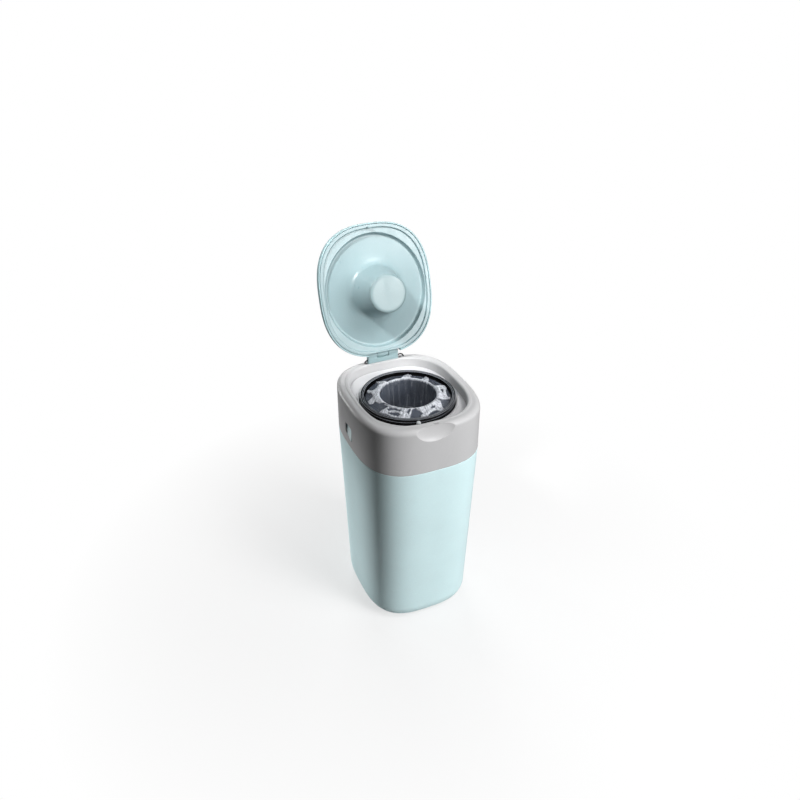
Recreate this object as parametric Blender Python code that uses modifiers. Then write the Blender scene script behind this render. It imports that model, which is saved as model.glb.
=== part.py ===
"""Nappy bin with an open hinged lid, a tilting head and a turning film cassette.

Metres, +Z up, front towards -Y, origin at the centre of the flat base.
"""
import math

import bpy
import bmesh
from mathutils import Matrix, Vector

# Driving sizes of the bin body
HALF_W = 0.1200        # half width of the head
HALF_D = 0.1368        # half depth of the head
SQUARE = 3.085         # superellipse power of the head outline
RIM_Z = 0.4809         # top of the rim
SEAM_Z = 0.3848        # joint line between tub and head
BASE_HALF_W = 0.1091   # tub outline where its straight sides would meet the floor
BASE_HALF_D = 0.1196
FOOT_UP = 0.035        # height of the rounded foot
FOOT_IN = 0.026        # how far the foot draws in
WALL = 0.0028
GAP = 0.0003

# Cassette and turning ring, all round the axis at (0, RING_Y)
RING_Y = -0.0047
RING_R = 0.0901
RING_TOP = RIM_Z - 0.0078
DECK_TOP = RIM_Z - 0.0190
CAP_TOP = RIM_Z - 0.0140
HOLE_R = 0.0539        # bore of the cover
CAP_RISE = 0.0081      # how far the cover slopes up towards the hole
TEETH = 24
PAWL_ANGLE = math.radians(-102.5)

# Lid, described closed and then swung open about its hinge
LID_HALF_W = 0.1150
LID_HALF_D = 0.1285
LID_SQUARE = 2.628
LID_Y = -0.0060
LIP_Z = RIM_Z + 0.0005
LID_AXIS_Y = 0.1219
LID_AXIS_Z = 0.4970
LID_OPEN = math.radians(107.3)
PLUNGER = 0.0610       # plunger length below the lip plane

# Head hinge at the back of the seam
HEAD_AXIS_Y = 0.1425
HEAD_AXIS_Z = SEAM_Z

# Side catches
CATCH_Y = 0.001
CATCH_LOW = RIM_Z - 0.0815
CATCH_HIGH = RIM_Z - 0.0415

SEG = 40

MINT = (0.68, 0.86, 0.86, 1.0)
MINT_CLEAR = (0.60, 0.80, 0.80, 1.0)
GREY = (0.52, 0.52, 0.53, 1.0)
PALE = (0.68, 0.68, 0.69, 1.0)
BLACK = (0.02, 0.02, 0.025, 1.0)
SLATE = (0.16, 0.19, 0.25, 1.0)
WHITE = (0.86, 0.88, 0.90, 1.0)
STEEL = (0.45, 0.45, 0.46, 1.0)

for old in list(bpy.data.objects):
    bpy.data.objects.remove(old, do_unlink=True)

PARTS = bpy.data.collections.new("nappy_bin")
TOOLS = bpy.data.collections.new("cutters")
bpy.context.scene.collection.children.link(PARTS)
bpy.context.scene.collection.children.link(TOOLS)
MATERIALS = {}


def material(name, colour, rough=0.45, metal=0.0, clear=0.0):
    if name in MATERIALS:
        return MATERIALS[name]
    mat = bpy.data.materials.new(name)
    mat.use_nodes = True
    shader = mat.node_tree.nodes["Principled BSDF"]
    shader.inputs["Base Color"].default_value = colour
    shader.inputs["Roughness"].default_value = rough
    shader.inputs["Metallic"].default_value = metal
    shader.inputs["Transmission Weight"].default_value = clear
    mat.diffuse_color = colour
    MATERIALS[name] = mat
    return mat


def place(obj, mat=None, tool=False):
    """Put an object in its collection; a tool is only used to cut or join."""
    for owner in list(obj.users_collection):
        owner.objects.unlink(obj)
    if tool:
        TOOLS.objects.link(obj)
        obj.hide_render = True
        obj.display_type = "WIRE"
    else:
        PARTS.objects.link(obj)
        obj.data.materials.clear()
        obj.data.materials.append(mat)
    return obj


def outline(half_w, half_d, power, z, cy=0.0, count=SEG):
    """Points of a superellipse, evenly spaced by angle."""
    points = []
    for k in range(count):
        a = 2.0 * math.pi * k / count
        c, s = math.cos(a), math.sin(a)
        r = (abs(c / half_w) ** power + abs(s / half_d) ** power) ** (-1.0 / power)
        points.append((r * c, cy + r * s, z))
    return points


def head_ring(inset, z):
    return outline(HALF_W - inset, HALF_D - inset, SQUARE - 8.0 * inset, z)


def lid_ring(inset, rise):
    power = max(2.0, LID_SQUARE - 5.0 * inset)
    return outline(LID_HALF_W - inset, LID_HALF_D - inset, power, LIP_Z + rise, LID_Y)


def circle(radius, z, count=SEG, cy=RING_Y):
    return outline(radius, radius, 2.0, z, cy, count)


def loft(name, rings, mat=None, closed=False, tool=False):
    """Skin equal-count rings; closed joins last to first, else both ends are capped."""
    bm = bmesh.new()
    rows = [[bm.verts.new(p) for p in ring] for ring in rings]
    pairs = list(zip(rows[:-1], rows[1:]))
    if closed:
        pairs.append((rows[-1], rows[0]))
    for low, high in pairs:
        count = max(len(low), len(high))
        for k in range(count):
            j = (k + 1) % count
            if len(low) == 1:
                bm.faces.new((low[0], high[j], high[k]))
            elif len(high) == 1:
                bm.faces.new((low[k], low[j], high[0]))
            else:
                bm.faces.new((low[k], low[j], high[j], high[k]))
    if not closed:
        for row in (rows[0], rows[-1]):
            if len(row) > 2:
                bm.faces.new(row)
    bmesh.ops.recalc_face_normals(bm, faces=bm.faces)
    return from_bmesh(name, bm, mat, tool)


def from_bmesh(name, bm, mat=None, tool=False):
    mesh = bpy.data.meshes.new(name)
    bm.to_mesh(mesh)
    bm.free()
    mesh.shade_smooth()
    mesh.set_sharp_from_angle(angle=math.radians(32))
    obj = bpy.data.objects.new(name, mesh)
    return place(obj, mat, tool)


def turned(name, profile, mat=None, steps=SEG, closed=True, at=(0.0, RING_Y, 0.0), tool=False):
    """Turn a profile of (radius, z) round a vertical axis with a Screw modifier."""
    mesh = bpy.data.meshes.new(name)
    edges = [(k, k + 1) for k in range(len(profile) - 1)]
    if closed:
        edges.append((len(profile) - 1, 0))
    mesh.from_pydata([(r, 0.0, z) for r, z in profile], edges, [])
    obj = bpy.data.objects.new(name, mesh)
    obj.location = at
    screw = obj.modifiers.new("turn", "SCREW")
    screw.steps = steps
    screw.render_steps = steps
    screw.use_merge_vertices = True
    screw.merge_threshold = 0.00002
    if not closed:
        weld = obj.modifiers.new("weld", "WELD")
        weld.merge_threshold = 0.00002
    return place(obj, mat, tool)


def box(name, low, high, mat=None, bevel=0.0, segments=2, tool=True):
    """A block between two corners, with rounded edges if asked."""
    bm = bmesh.new()
    bmesh.ops.create_cube(bm, size=1.0)
    low, high = Vector(low), Vector(high)
    size = high - low
    for v in bm.verts:
        v.co = low + Vector((size[i] * (v.co[i] + 0.5) for i in range(3)))
    obj = from_bmesh(name, bm, mat, tool)
    if bevel:
        add = obj.modifiers.new("round", "BEVEL")
        add.width = bevel
        add.segments = segments
        add.limit_method = "ANGLE"
    return obj


def rod(name, start, end, radius, mat=None, sides=20, tool=True):
    """A straight cylinder between two points."""
    start, end = Vector(start), Vector(end)
    bm = bmesh.new()
    bmesh.ops.create_cone(bm, cap_ends=True, segments=sides, radius1=radius,
                          radius2=radius, depth=(end - start).length)
    turn = (end - start).to_track_quat("Z", "Y").to_matrix().to_4x4()
    bmesh.ops.transform(bm, matrix=Matrix.Translation((start + end) / 2) @ turn, verts=bm.verts)
    return from_bmesh(name, bm, mat, tool)


def plate(name, outlines, half_thick, matrix, mat=None, tool=False):
    """A flat outline, with any holes, given thickness; local XY is the outline."""
    curve = bpy.data.curves.new(name, "CURVE")
    curve.dimensions = "2D"
    curve.fill_mode = "BOTH"
    curve.extrude = half_thick
    for points in outlines:
        line = curve.splines.new("POLY")
        line.points.add(len(points) - 1)
        for k, (x, y) in enumerate(points):
            line.points[k].co = (x, y, 0.0, 1.0)
        line.use_cyclic_u = True
    raw = bpy.data.objects.new(name + "_outline", curve)
    bpy.context.scene.collection.objects.link(raw)
    bpy.context.view_layer.update()
    graph = bpy.context.evaluated_depsgraph_get()
    mesh = bpy.data.meshes.new_from_object(raw.evaluated_get(graph))
    bpy.data.objects.remove(raw, do_unlink=True)
    bm = bmesh.new()
    bm.from_mesh(mesh)
    bmesh.ops.remove_doubles(bm, verts=bm.verts, dist=0.00001)
    bmesh.ops.transform(bm, matrix=matrix, verts=bm.verts)
    bmesh.ops.recalc_face_normals(bm, faces=bm.faces)
    return from_bmesh(name, bm, mat, tool)


def combine(obj, tool, operation):
    add = obj.modifiers.new(operation.lower() + "_" + tool.name[:30], "BOOLEAN")
    add.operation = operation
    add.solver = "EXACT"
    add.object = tool
    return obj


def join(obj, tool):
    return combine(obj, tool, "UNION")


def cut(obj, tool):
    return combine(obj, tool, "DIFFERENCE")


def pivot(name, position):
    """An empty on a joint axis; its children keep their places in the world."""
    empty = bpy.data.objects.new(name, None)
    empty.location = position
    empty.empty_display_size = 0.02
    PARTS.objects.link(empty)
    return empty


mint = material("mint_plastic", MINT, 0.38)
mint_clear = material("mint_clear_plastic", MINT_CLEAR, 0.28, clear=0.25)
grey = material("grey_plastic", GREY, 0.42)
pale = material("pale_plastic", PALE, 0.40)
black = material("black_gloss", BLACK, 0.15)
slate = material("slate_clear_plastic", SLATE, 0.22, clear=0.2)
white = material("white_plastic", WHITE, 0.35)
film = material("film", WHITE, 0.25, clear=0.5)
steel = material("steel", STEEL, 0.3, 1.0)


# Tub: a tapering shell with a rounded foot and a spigot that the head sits over
def tub_half(z):
    fall = 1.0 - z / SEAM_Z
    return (HALF_W + (BASE_HALF_W - HALF_W) * fall, HALF_D + (BASE_HALF_D - HALF_D) * fall,
            SQUARE + (3.03 - SQUARE) * fall)


def tub_ring(z, inset, at=None):
    half_w, half_d, power = tub_half(z if at is None else at)
    return outline(half_w - inset, half_d - inset, power, z)


def make_tub():
    rings = []
    for deg in (90, 72, 54, 36, 18, 0):
        t = math.radians(deg)
        z = FOOT_UP * (1.0 - math.sin(t))
        rings.append(tub_ring(z, FOOT_IN * (1.0 - math.cos(t)), FOOT_UP))
    rings.append(tub_ring(SEAM_Z - 0.0012, 0.0))
    rings.append(tub_ring(SEAM_Z - GAP, 0.0010))
    rings.append(tub_ring(SEAM_Z - GAP, 0.0034))
    rings.append(tub_ring(SEAM_Z + 0.0112, 0.0034, SEAM_Z))
    rings.append(tub_ring(SEAM_Z + 0.0120, 0.0040, SEAM_Z))
    rings.append(tub_ring(SEAM_Z + 0.0120, 0.0058, SEAM_Z))
    rings.append(tub_ring(SEAM_Z - 0.0060, 0.0058))
    rings.append(tub_ring(SEAM_Z - 0.0120, WALL))
    for deg in (0, 25, 50, 72, 90):
        t = math.radians(deg)
        z = 0.0032 + (FOOT_UP - 0.0032) * (1.0 - math.sin(t))
        rings.append(tub_ring(z, WALL + (FOOT_IN - WALL) * (1.0 - math.cos(t)), FOOT_UP))
    tub = loft("tub_shell", rings, mint)
    for side in (-1, 1):
        x0, x1 = sorted((side * 0.0220, side * 0.0400))
        web = box("tub_web", (x0 + 0.0003, 0.1350, SEAM_Z - 0.0130),
                  (x1 - 0.0003, HEAD_AXIS_Y + 0.0010, SEAM_Z - 0.0006))
        knuckle = rod("tub_knuckle", (x0, HEAD_AXIS_Y, HEAD_AXIS_Z),
                      (x1, HEAD_AXIS_Y, HEAD_AXIS_Z), 0.0055, sides=24)
        join(tub, web)
        join(tub, knuckle)
        notch = box("spigot_notch", (min(side * 0.110, side * 0.1172), CATCH_Y - 0.0095,
                                     SEAM_Z + 0.0010),
                    (max(side * 0.110, side * 0.1172), CATCH_Y + 0.0095, SEAM_Z + 0.02))
        cut(tub, notch)
    cut(tub, rod("tub_pin_hole", (-0.05, HEAD_AXIS_Y, HEAD_AXIS_Z),
                 (0.05, HEAD_AXIS_Y, HEAD_AXIS_Z), 0.0023))
    return tub


# Head: skirt, rounded rim and an inner wall that ends in a ledge for the deck
def make_head():
    top = RIM_Z
    profile = [
        (0.0000, SEAM_Z + GAP), (0.0000, top - 0.0110), (0.0007, top - 0.0068),
        (0.0026, top - 0.0034), (0.0056, top - 0.0013), (0.0095, top - 0.0006),
        (0.0138, top - 0.0006), (0.0148, top), (0.0176, top), (0.0198, top - 0.0009),
        (0.0207, top - 0.0032), (0.0210, top - 0.0217), (0.0262, top - 0.0217),
        (0.0262, top - 0.0241), (0.0186, top - 0.0241), (0.0182, top - 0.0050),
        (0.0168, top - 0.0034), (0.0080, top - 0.0036), (0.0050, top - 0.0050),
        (0.0028, top - 0.0110), (0.0028, SEAM_Z + GAP),
    ]
    head = loft("head_shell", [head_ring(i, z) for i, z in profile], grey, closed=True)

    # Thumb scoop: an ellipsoid cut from the front of the rim, over a thickened wall
    centre = Vector((-0.0050, -HALF_D - 0.0040, top + 0.0020))
    radii = Vector((0.0450, 0.0118, 0.0340))
    backing = sphere("scoop_backing", centre, radii + Vector((0.0028, 0.0028, 0.0028)))
    inside = loft("scoop_limit", [head_ring(i, z) for i, z in (
        (0.0008, top - 0.060), (0.0008, top - 0.0100), (0.0030, top - 0.0042),
        (0.0080, top - 0.0012))], tool=True)
    combine(backing, inside, "INTERSECT")
    join(head, backing)
    cut(head, sphere("scoop_cut", centre, radii))

    # Slot for the lid's catch, behind the scoop
    cut(head, box("catch_slot", (-0.0050, -0.1278, top - 0.0080), (0.0060, -0.1247, top + 0.01)))

    # Centre knuckle of the head hinge
    join(head, box("head_web", (-0.0212, 0.1350, SEAM_Z + 0.0006),
                   (0.0212, HEAD_AXIS_Y + 0.0010, SEAM_Z + 0.0130)))
    join(head, rod("head_knuckle", (-0.0215, HEAD_AXIS_Y, HEAD_AXIS_Z),
                   (0.0215, HEAD_AXIS_Y, HEAD_AXIS_Z), 0.0055, sides=24))
    cut(head, rod("head_pin_hole", (-0.03, HEAD_AXIS_Y, HEAD_AXIS_Z),
                  (0.03, HEAD_AXIS_Y, HEAD_AXIS_Z), 0.0023))

    # Windows for the side catches and holes for the hinge block's clips
    for side in (-1, 1):
        low = (min(side * 0.110, side * 0.130), CATCH_Y - 0.0170, CATCH_LOW - 0.0012)
        high = (max(side * 0.110, side * 0.130), CATCH_Y + 0.0170, CATCH_HIGH + 0.0016)
        window = box("catch_window", low, high, bevel=0.0060, segments=3)
        cut(head, window)
        cut(head, rod("clip_hole", (side * 0.0355, 0.1215, top - 0.02),
                      (side * 0.0355, 0.1215, top + 0.01), 0.0029, sides=16))
    return head


def sphere(name, centre, radii):
    bm = bmesh.new()
    bmesh.ops.create_uvsphere(bm, u_segments=32, v_segments=16, radius=1.0)
    for v in bm.verts:
        v.co = Vector((v.co[i] * radii[i] + centre[i] for i in range(3)))
    return from_bmesh(name, bm, tool=True)


# Deck: the pale tray inside the rim, with a well for the turning ring
def make_deck():
    base = DECK_TOP - 0.0023
    rings = [
        head_ring(0.0214, DECK_TOP - 0.0004), head_ring(0.0219, DECK_TOP),
        circle(0.0922, DECK_TOP), circle(0.0908, DECK_TOP - 0.0012),
        circle(0.0908, RIM_Z - 0.0755), circle(0.0740, RIM_Z - 0.0755),
        circle(0.0740, RIM_Z - 0.0776), circle(0.0928, RIM_Z - 0.0776),
        circle(0.0928, base - 0.0012), circle(0.0940, base), head_ring(0.0214, base),
    ]
    deck = loft("cassette_deck", rings, pale, closed=True)
    for k in range(4):
        a = math.radians(45 + 90 * k)
        x, y = 0.0967 * math.cos(a), RING_Y + 0.0967 * math.sin(a)
        join(deck, rod("deck_boss", (x, y, RIM_Z - 0.0776), (x, y, RIM_Z - 0.0560), 0.0044, sides=16))
        cut(deck, rod("boss_hole", (x, y, RIM_Z - 0.0790), (x, y, RIM_Z - 0.0640), 0.0017, sides=12))
    window = box("pawl_window", (0.0880, -0.0058, RIM_Z - 0.0390), (0.0960, 0.0058, RIM_Z - 0.0150))
    window.matrix_world = Matrix.Translation((0, RING_Y, 0)) @ Matrix.Rotation(PAWL_ANGLE, 4, "Z")
    cut(deck, window)
    return deck


# Click pawl: an upright springy tongue whose nose rides on the ring's teeth
def make_pawl():
    top = RIM_Z
    line = [(0.0932, -0.0530), (0.0950, -0.0530), (0.0950, -0.0375), (0.0926, -0.0345),
            (0.0926, -0.0072), (0.0920, -0.0062), (0.0910, -0.0062), (0.0906, -0.0072),
            (0.0909, -0.0180), (0.0906, -0.0230), (0.0904, -0.0290), (0.0909, -0.0350),
            (0.0932, -0.0388)]
    spin = Matrix.Translation((0, RING_Y, top)) @ Matrix.Rotation(PAWL_ANGLE, 4, "Z")
    stand = Matrix.Rotation(math.radians(90), 4, "X")
    return plate("click_pawl", [line], 0.0048, spin @ stand, white)


# Film grip: a ring of flexible fingers under the cassette, on four ears
def make_grip():
    outer, inner, holes = [], [], []
    for k in range(56):
        a = 2 * math.pi * k / 56
        ear = max(0.0, math.cos(4 * (a - math.radians(45)))) ** 6
        r = 0.0905 + 0.0112 * ear
        outer.append((r * math.cos(a), r * math.sin(a)))
    fingers = 12
    for k in range(fingers):
        a = 2 * math.pi * k / fingers
        half = math.pi / fingers
        for r, turn in ((0.0700, -half + 0.0145), (0.0345, -half + 0.0300), (0.0322, -half + 0.07),
                        (0.0315, 0.0), (0.0322, half - 0.07), (0.0345, half - 0.0300),
                        (0.0700, half - 0.0145), (0.0712, half)):
            inner.append((r * math.cos(a + turn), r * math.sin(a + turn)))
    for k in range(4):
        a = math.radians(45 + 90 * k)
        x, y = 0.0967 * math.cos(a), 0.0967 * math.sin(a)
        holes.append([(x + 0.0018 * math.cos(t * math.pi / 5), y + 0.0018 * math.sin(t * math.pi / 5))
                      for t in range(10)])
    where = Matrix.Translation((0, RING_Y, RIM_Z - 0.0788))
    return plate("film_grip", [outer, inner] + holes, 0.0008, where, white)


def make_grip_screws():
    screws = []
    for k in range(4):
        a = math.radians(45 + 90 * k)
        x, y = 0.0967 * math.cos(a), RING_Y + 0.0967 * math.sin(a)
        low = RIM_Z - 0.0800
        profile = [(0.0, low + 0.0150), (0.0009, low + 0.0146), (0.0014, low + 0.0130),
                   (0.0014, low), (0.0030, low), (0.0032, low - 0.0006), (0.0026, low - 0.0019),
                   (0.0, low - 0.0022)]
        screws.append(turned("grip_screw_%d" % (k + 1), profile, steel, 10, False, (x, y, 0.0)))
    return screws


# Turning ring: glossy collar with fine grooves on top and a toothed band below the deck
def make_carrier():
    top = RING_TOP

    def toothed(radius, z):
        points = []
        for k, (x, y, h) in enumerate(circle(radius, z, TEETH * 2)):
            scale = 1.0 if k % 2 == 0 else (radius - 0.0013) / radius
            points.append((x * scale, RING_Y + (y - RING_Y) * scale, h))
        return points

    def plain(radius, z):
        return circle(radius, z, TEETH * 2)

    rings = [
        plain(0.0862, RIM_Z - 0.0745), plain(0.0862, RIM_Z - 0.0360),
        plain(0.0884, RIM_Z - 0.0350), toothed(RING_R, RIM_Z - 0.0345),
        toothed(RING_R, RIM_Z - 0.0245), plain(0.0886, RIM_Z - 0.0238),
        plain(0.0900, RIM_Z - 0.0205), plain(RING_R, top - 0.0022), plain(0.0896, top - 0.0007),
        plain(0.0886, top), plain(0.0872, top), plain(0.0868, top - 0.0006),
        plain(0.0860, top - 0.0006), plain(0.0856, top), plain(0.0846, top),
        plain(0.0839, top - 0.0010), plain(0.0836, top - 0.0045), plain(0.0834, RIM_Z - 0.0725),
        plain(0.0745, RIM_Z - 0.0725), plain(0.0745, RIM_Z - 0.0745),
    ]
    return loft("carrier_ring", rings, black, closed=True)


# Refill cassette: a ring-shaped trough, its cover and the folded film inside
def make_cassette():
    low = RIM_Z - 0.0722
    c = CAP_TOP
    wall = HOLE_R + 0.0014
    tray = turned("cassette_tray", [
        (0.0826, RIM_Z - 0.0172), (0.0828, RIM_Z - 0.0190), (0.0826, low), (wall, low),
        (wall, c + 0.0030), (wall + 0.0003, c + 0.0036), (wall + 0.0017, c + 0.0036),
        (wall + 0.0020, c + 0.0030), (wall + 0.0020, low + 0.0020), (0.0808, low + 0.0020),
        (0.0808, RIM_Z - 0.0172)], slate)
    cap = turned("cassette_cap", [
        (0.0790, c - 0.0004), (0.0794, c - 0.0014), (0.0790, c - 0.0028), (0.0745, c - 0.0014),
        (0.0612, c + 0.0040), (0.0592, c + 0.0046), (0.0590, c - 0.0075), (0.0577, c - 0.0075),
        (0.0577, c + 0.0040), (HOLE_R + 0.0011, c + 0.0040), (HOLE_R + 0.0010, c - 0.0028),
        (HOLE_R + 0.0001, c - 0.0028), (HOLE_R, c + 0.0056), (HOLE_R + 0.0006, c + 0.0074),
        (0.0560, c + CAP_RISE), (0.0745, c + 0.0010), (0.0780, c)], slate)
    layers = []
    for k in range(4):
        layers.append((0.0800 - 0.0010 * (k % 2), RIM_Z - 0.0390 - 0.0080 * k))
    pack = [(0.0790, RIM_Z - 0.0340)] + layers + [(0.0794, RIM_Z - 0.0692), (0.0588, RIM_Z - 0.0692)]
    for k in range(4):
        pack.append((0.0586 + 0.0010 * (k % 2), RIM_Z - 0.0390 - 0.0080 * (3 - k)))
    pack.append((0.0590, RIM_Z - 0.0340))
    folded = turned("film_pack", pack, film, 18)
    return [tray, cap, folded]


# Film: gathered over the cover, down the hole, through the grip and into a twisted tail
def make_film():
    count = 32
    thick = 0.0005

    def swell(a, depth):
        wave = (math.sin(5 * a + 0.6) + math.sin(8 * a + 2.1) + math.sin(13 * a + 4.0)) / 6.0
        return depth * (0.5 + wave)

    def ring(radius, z, lift=0.0, pleat=0.0):
        points = []
        for k in range(count):
            a = 2 * math.pi * k / count
            r = radius - pleat * (0.5 + 0.5 * math.cos(8 * a))
            points.append((r * math.cos(a), RING_Y + r * math.sin(a), z + swell(a, lift)))
        return points

    c = CAP_TOP
    under = [
        ring(0.0799, c - 0.0020), ring(0.0798, c + 0.0002, 0.0004), ring(0.0778, c + 0.0004, 0.0008),
        ring(0.0745, c + 0.0015, 0.0020), ring(0.0650, c + 0.0053, 0.0024),
        ring(0.0585, c + 0.0079, 0.0012), ring(0.0560, c + 0.0086, 0.0004), ring(0.0543, c + 0.0079),
        ring(0.0535, c + 0.0056), ring(0.0532, c - 0.0028, 0.0, 0.0006),
        ring(0.0528, RIM_Z - 0.0400, 0.0, 0.0010), ring(0.0520, RIM_Z - 0.0651, 0.0, 0.0010),
    ]
    above = [
        ring(0.0512, RIM_Z - 0.0651, 0.0, 0.0010), ring(0.0521, RIM_Z - 0.0400, 0.0, 0.0010),
        ring(0.0525, c - 0.0028, 0.0, 0.0006), ring(0.0529, c + 0.0058), ring(0.0539, c + 0.0084),
        ring(0.0560, c + 0.0092, 0.0004), ring(0.0586, c + 0.0085, 0.0012),
        ring(0.0651, c + 0.0059, 0.0024), ring(0.0746, c + 0.0021, 0.0020),
        ring(0.0779, c + 0.0010, 0.0008), ring(0.0803, c + 0.0007, 0.0004), ring(0.0804, c - 0.0020),
    ]
    collar = loft("film_collar", above + under, film, closed=True)
    outer = [
        ring(0.0520, RIM_Z - 0.0655, 0.0, 0.0010), ring(0.0420, RIM_Z - 0.0735, 0.0, 0.0016),
        ring(0.0285, RIM_Z - 0.0780, 0.0, 0.0016), ring(0.0262, RIM_Z - 0.0810, 0.0, 0.0020),
        ring(0.0150, RIM_Z - 0.0940, 0.0, 0.0020), ring(0.0085, RIM_Z - 0.1100, 0.0, 0.0014),
        ring(0.0075, RIM_Z - 0.1480, 0.0, 0.0010), ring(0.0130, RIM_Z - 0.1570, 0.0, 0.0010),
        ring(0.0128, RIM_Z - 0.1660, 0.0, 0.0010), ring(0.0075, RIM_Z - 0.1720, 0.0, 0.0010),
        ring(0.0130, RIM_Z - 0.1900, 0.0, 0.0030), [(0.0, RING_Y, RIM_Z - 0.1880)],
    ]
    inner = [
        [(0.0, RING_Y, RIM_Z - 0.0960)], ring(0.0120, RIM_Z - 0.0925, 0.0, 0.0020),
        ring(0.0256, RIM_Z - 0.0795, 0.0, 0.0020), ring(0.0415, RIM_Z - 0.0728, 0.0, 0.0016),
        ring(0.0512, RIM_Z - 0.0655, 0.0, 0.0010),
    ]
    return [collar, loft("film_sleeve", inner + outer, film)]


# Lid: domed cover with the hinge knuckle, swung open about its axis
def swing_lid(obj):
    there = Matrix.Translation((0.0, LID_AXIS_Y, LID_AXIS_Z))
    obj.matrix_world = there @ Matrix.Rotation(-LID_OPEN, 4, "X") @ there.inverted()
    return obj


def make_lid_outer():
    inner = [(0.0850, 0.0268), (0.0560, 0.0254), (0.0290, 0.0228), (0.0140, 0.0200),
             (0.0078, 0.0172), (0.0046, 0.0140), (0.0029, 0.0102), (0.0026, 0.0006),
             (0.0024, 0.0000)]
    outer = [(0.0010, 0.0000), (0.0003, 0.0005), (0.0000, 0.0016), (0.0004, 0.0105),
             (0.0016, 0.0150), (0.0050, 0.0192), (0.0120, 0.0224), (0.0280, 0.0252),
             (0.0550, 0.0278), (0.0850, 0.0292)]
    lid = swing_lid(loft("lid_outer", [lid_ring(i, h) for i, h in inner + outer], mint))
    cut(lid, swing_lid(box("hinge_notch", (-0.0345, LID_AXIS_Y - 0.0066, LIP_Z - 0.01),
                          (0.0345, 0.150, LIP_Z + 0.0240))))
    join(lid, swing_lid(box("lid_web", (-0.0108, LID_AXIS_Y - 0.0125, LID_AXIS_Z - 0.0030),
                           (0.0108, LID_AXIS_Y + 0.0006, LID_AXIS_Z + 0.0046))))
    join(lid, swing_lid(rod("lid_knuckle", (-0.0112, LID_AXIS_Y, LID_AXIS_Z),
                           (0.0112, LID_AXIS_Y, LID_AXIS_Z), 0.0050, sides=24)))
    cut(lid, swing_lid(rod("lid_pin_hole", (-0.02, LID_AXIS_Y, LID_AXIS_Z),
                          (0.02, LID_AXIS_Y, LID_AXIS_Z), 0.0019)))
    return lid


# Liner: flange and oval dish with the front catch nib, and the hollow plunger that hangs from it
def make_lid_inner():
    def oval(wide, deep, rise):
        return outline(wide, deep, 2.0, LIP_Z + rise, RING_Y)

    def disc(radius, rise):
        return circle(radius, LIP_Z + rise)

    shown = [
        disc(0.0500, -0.0022), disc(0.0550, 0.0018), disc(0.0620, 0.0042),
        oval(0.0985, 0.1061, 0.0112), oval(0.1018, 0.1094, 0.0094), oval(0.1034, 0.1110, 0.0040),
        lid_ring(0.0100, 0.0036), lid_ring(0.0095, 0.0012), lid_ring(0.0088, 0.0005),
        lid_ring(0.0037, 0.0005), lid_ring(0.0030, 0.0012),
    ]
    back = [
        lid_ring(0.0030, 0.0034), lid_ring(0.0080, 0.0056), oval(0.1056, 0.1134, 0.0062),
        oval(0.1040, 0.1118, 0.0112), oval(0.0990, 0.1068, 0.0136), disc(0.0620, 0.0066),
        disc(0.0536, 0.0042), disc(0.0479, -0.0022),
    ]
    liner = swing_lid(loft("lid_inner", shown + back, mint_clear, closed=True))
    cut(liner, swing_lid(box("liner_notch", (-0.0345, LID_AXIS_Y - 0.0066, LIP_Z - 0.01),
                            (0.0345, 0.150, LIP_Z + 0.0240))))
    nib = swing_lid(box("catch_nib", (-0.0040, -0.1271, LIP_Z - 0.0050),
                        (0.0050, -0.1253, LIP_Z + 0.0030), bevel=0.0006, segments=1))
    join(liner, nib)
    wall = [disc(0.0336, -0.0562), disc(0.0368, -0.0552), disc(0.0450, -0.0195), disc(0.0482, -0.0085),
            disc(0.0500, -0.0025), disc(0.0479, -0.0025), disc(0.0458, -0.0090), disc(0.0428, -0.0195),
            disc(0.0346, -0.0536), disc(0.0320, -0.0538)]
    return [liner, swing_lid(loft("plunger_wall", wall, mint_clear))]


def make_plunger_tip():
    z = LIP_Z
    profile = [(0.0, z - 0.0566), (0.0360, z - 0.0566), (0.0365, z - 0.0572),
               (0.0363, z - 0.0586), (0.0352, z - 0.0602), (0.0332, z - PLUNGER),
               (0.0, z - PLUNGER)]
    tip = turned("plunger_tip", profile, mint_clear, 36, False)
    there = Matrix.Translation((0.0, LID_AXIS_Y, LID_AXIS_Z))
    lean = there @ Matrix.Rotation(-LID_OPEN, 4, "X") @ there.inverted()
    tip.matrix_world = lean @ Matrix.Translation((0.0, RING_Y, 0.0))
    return tip


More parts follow.
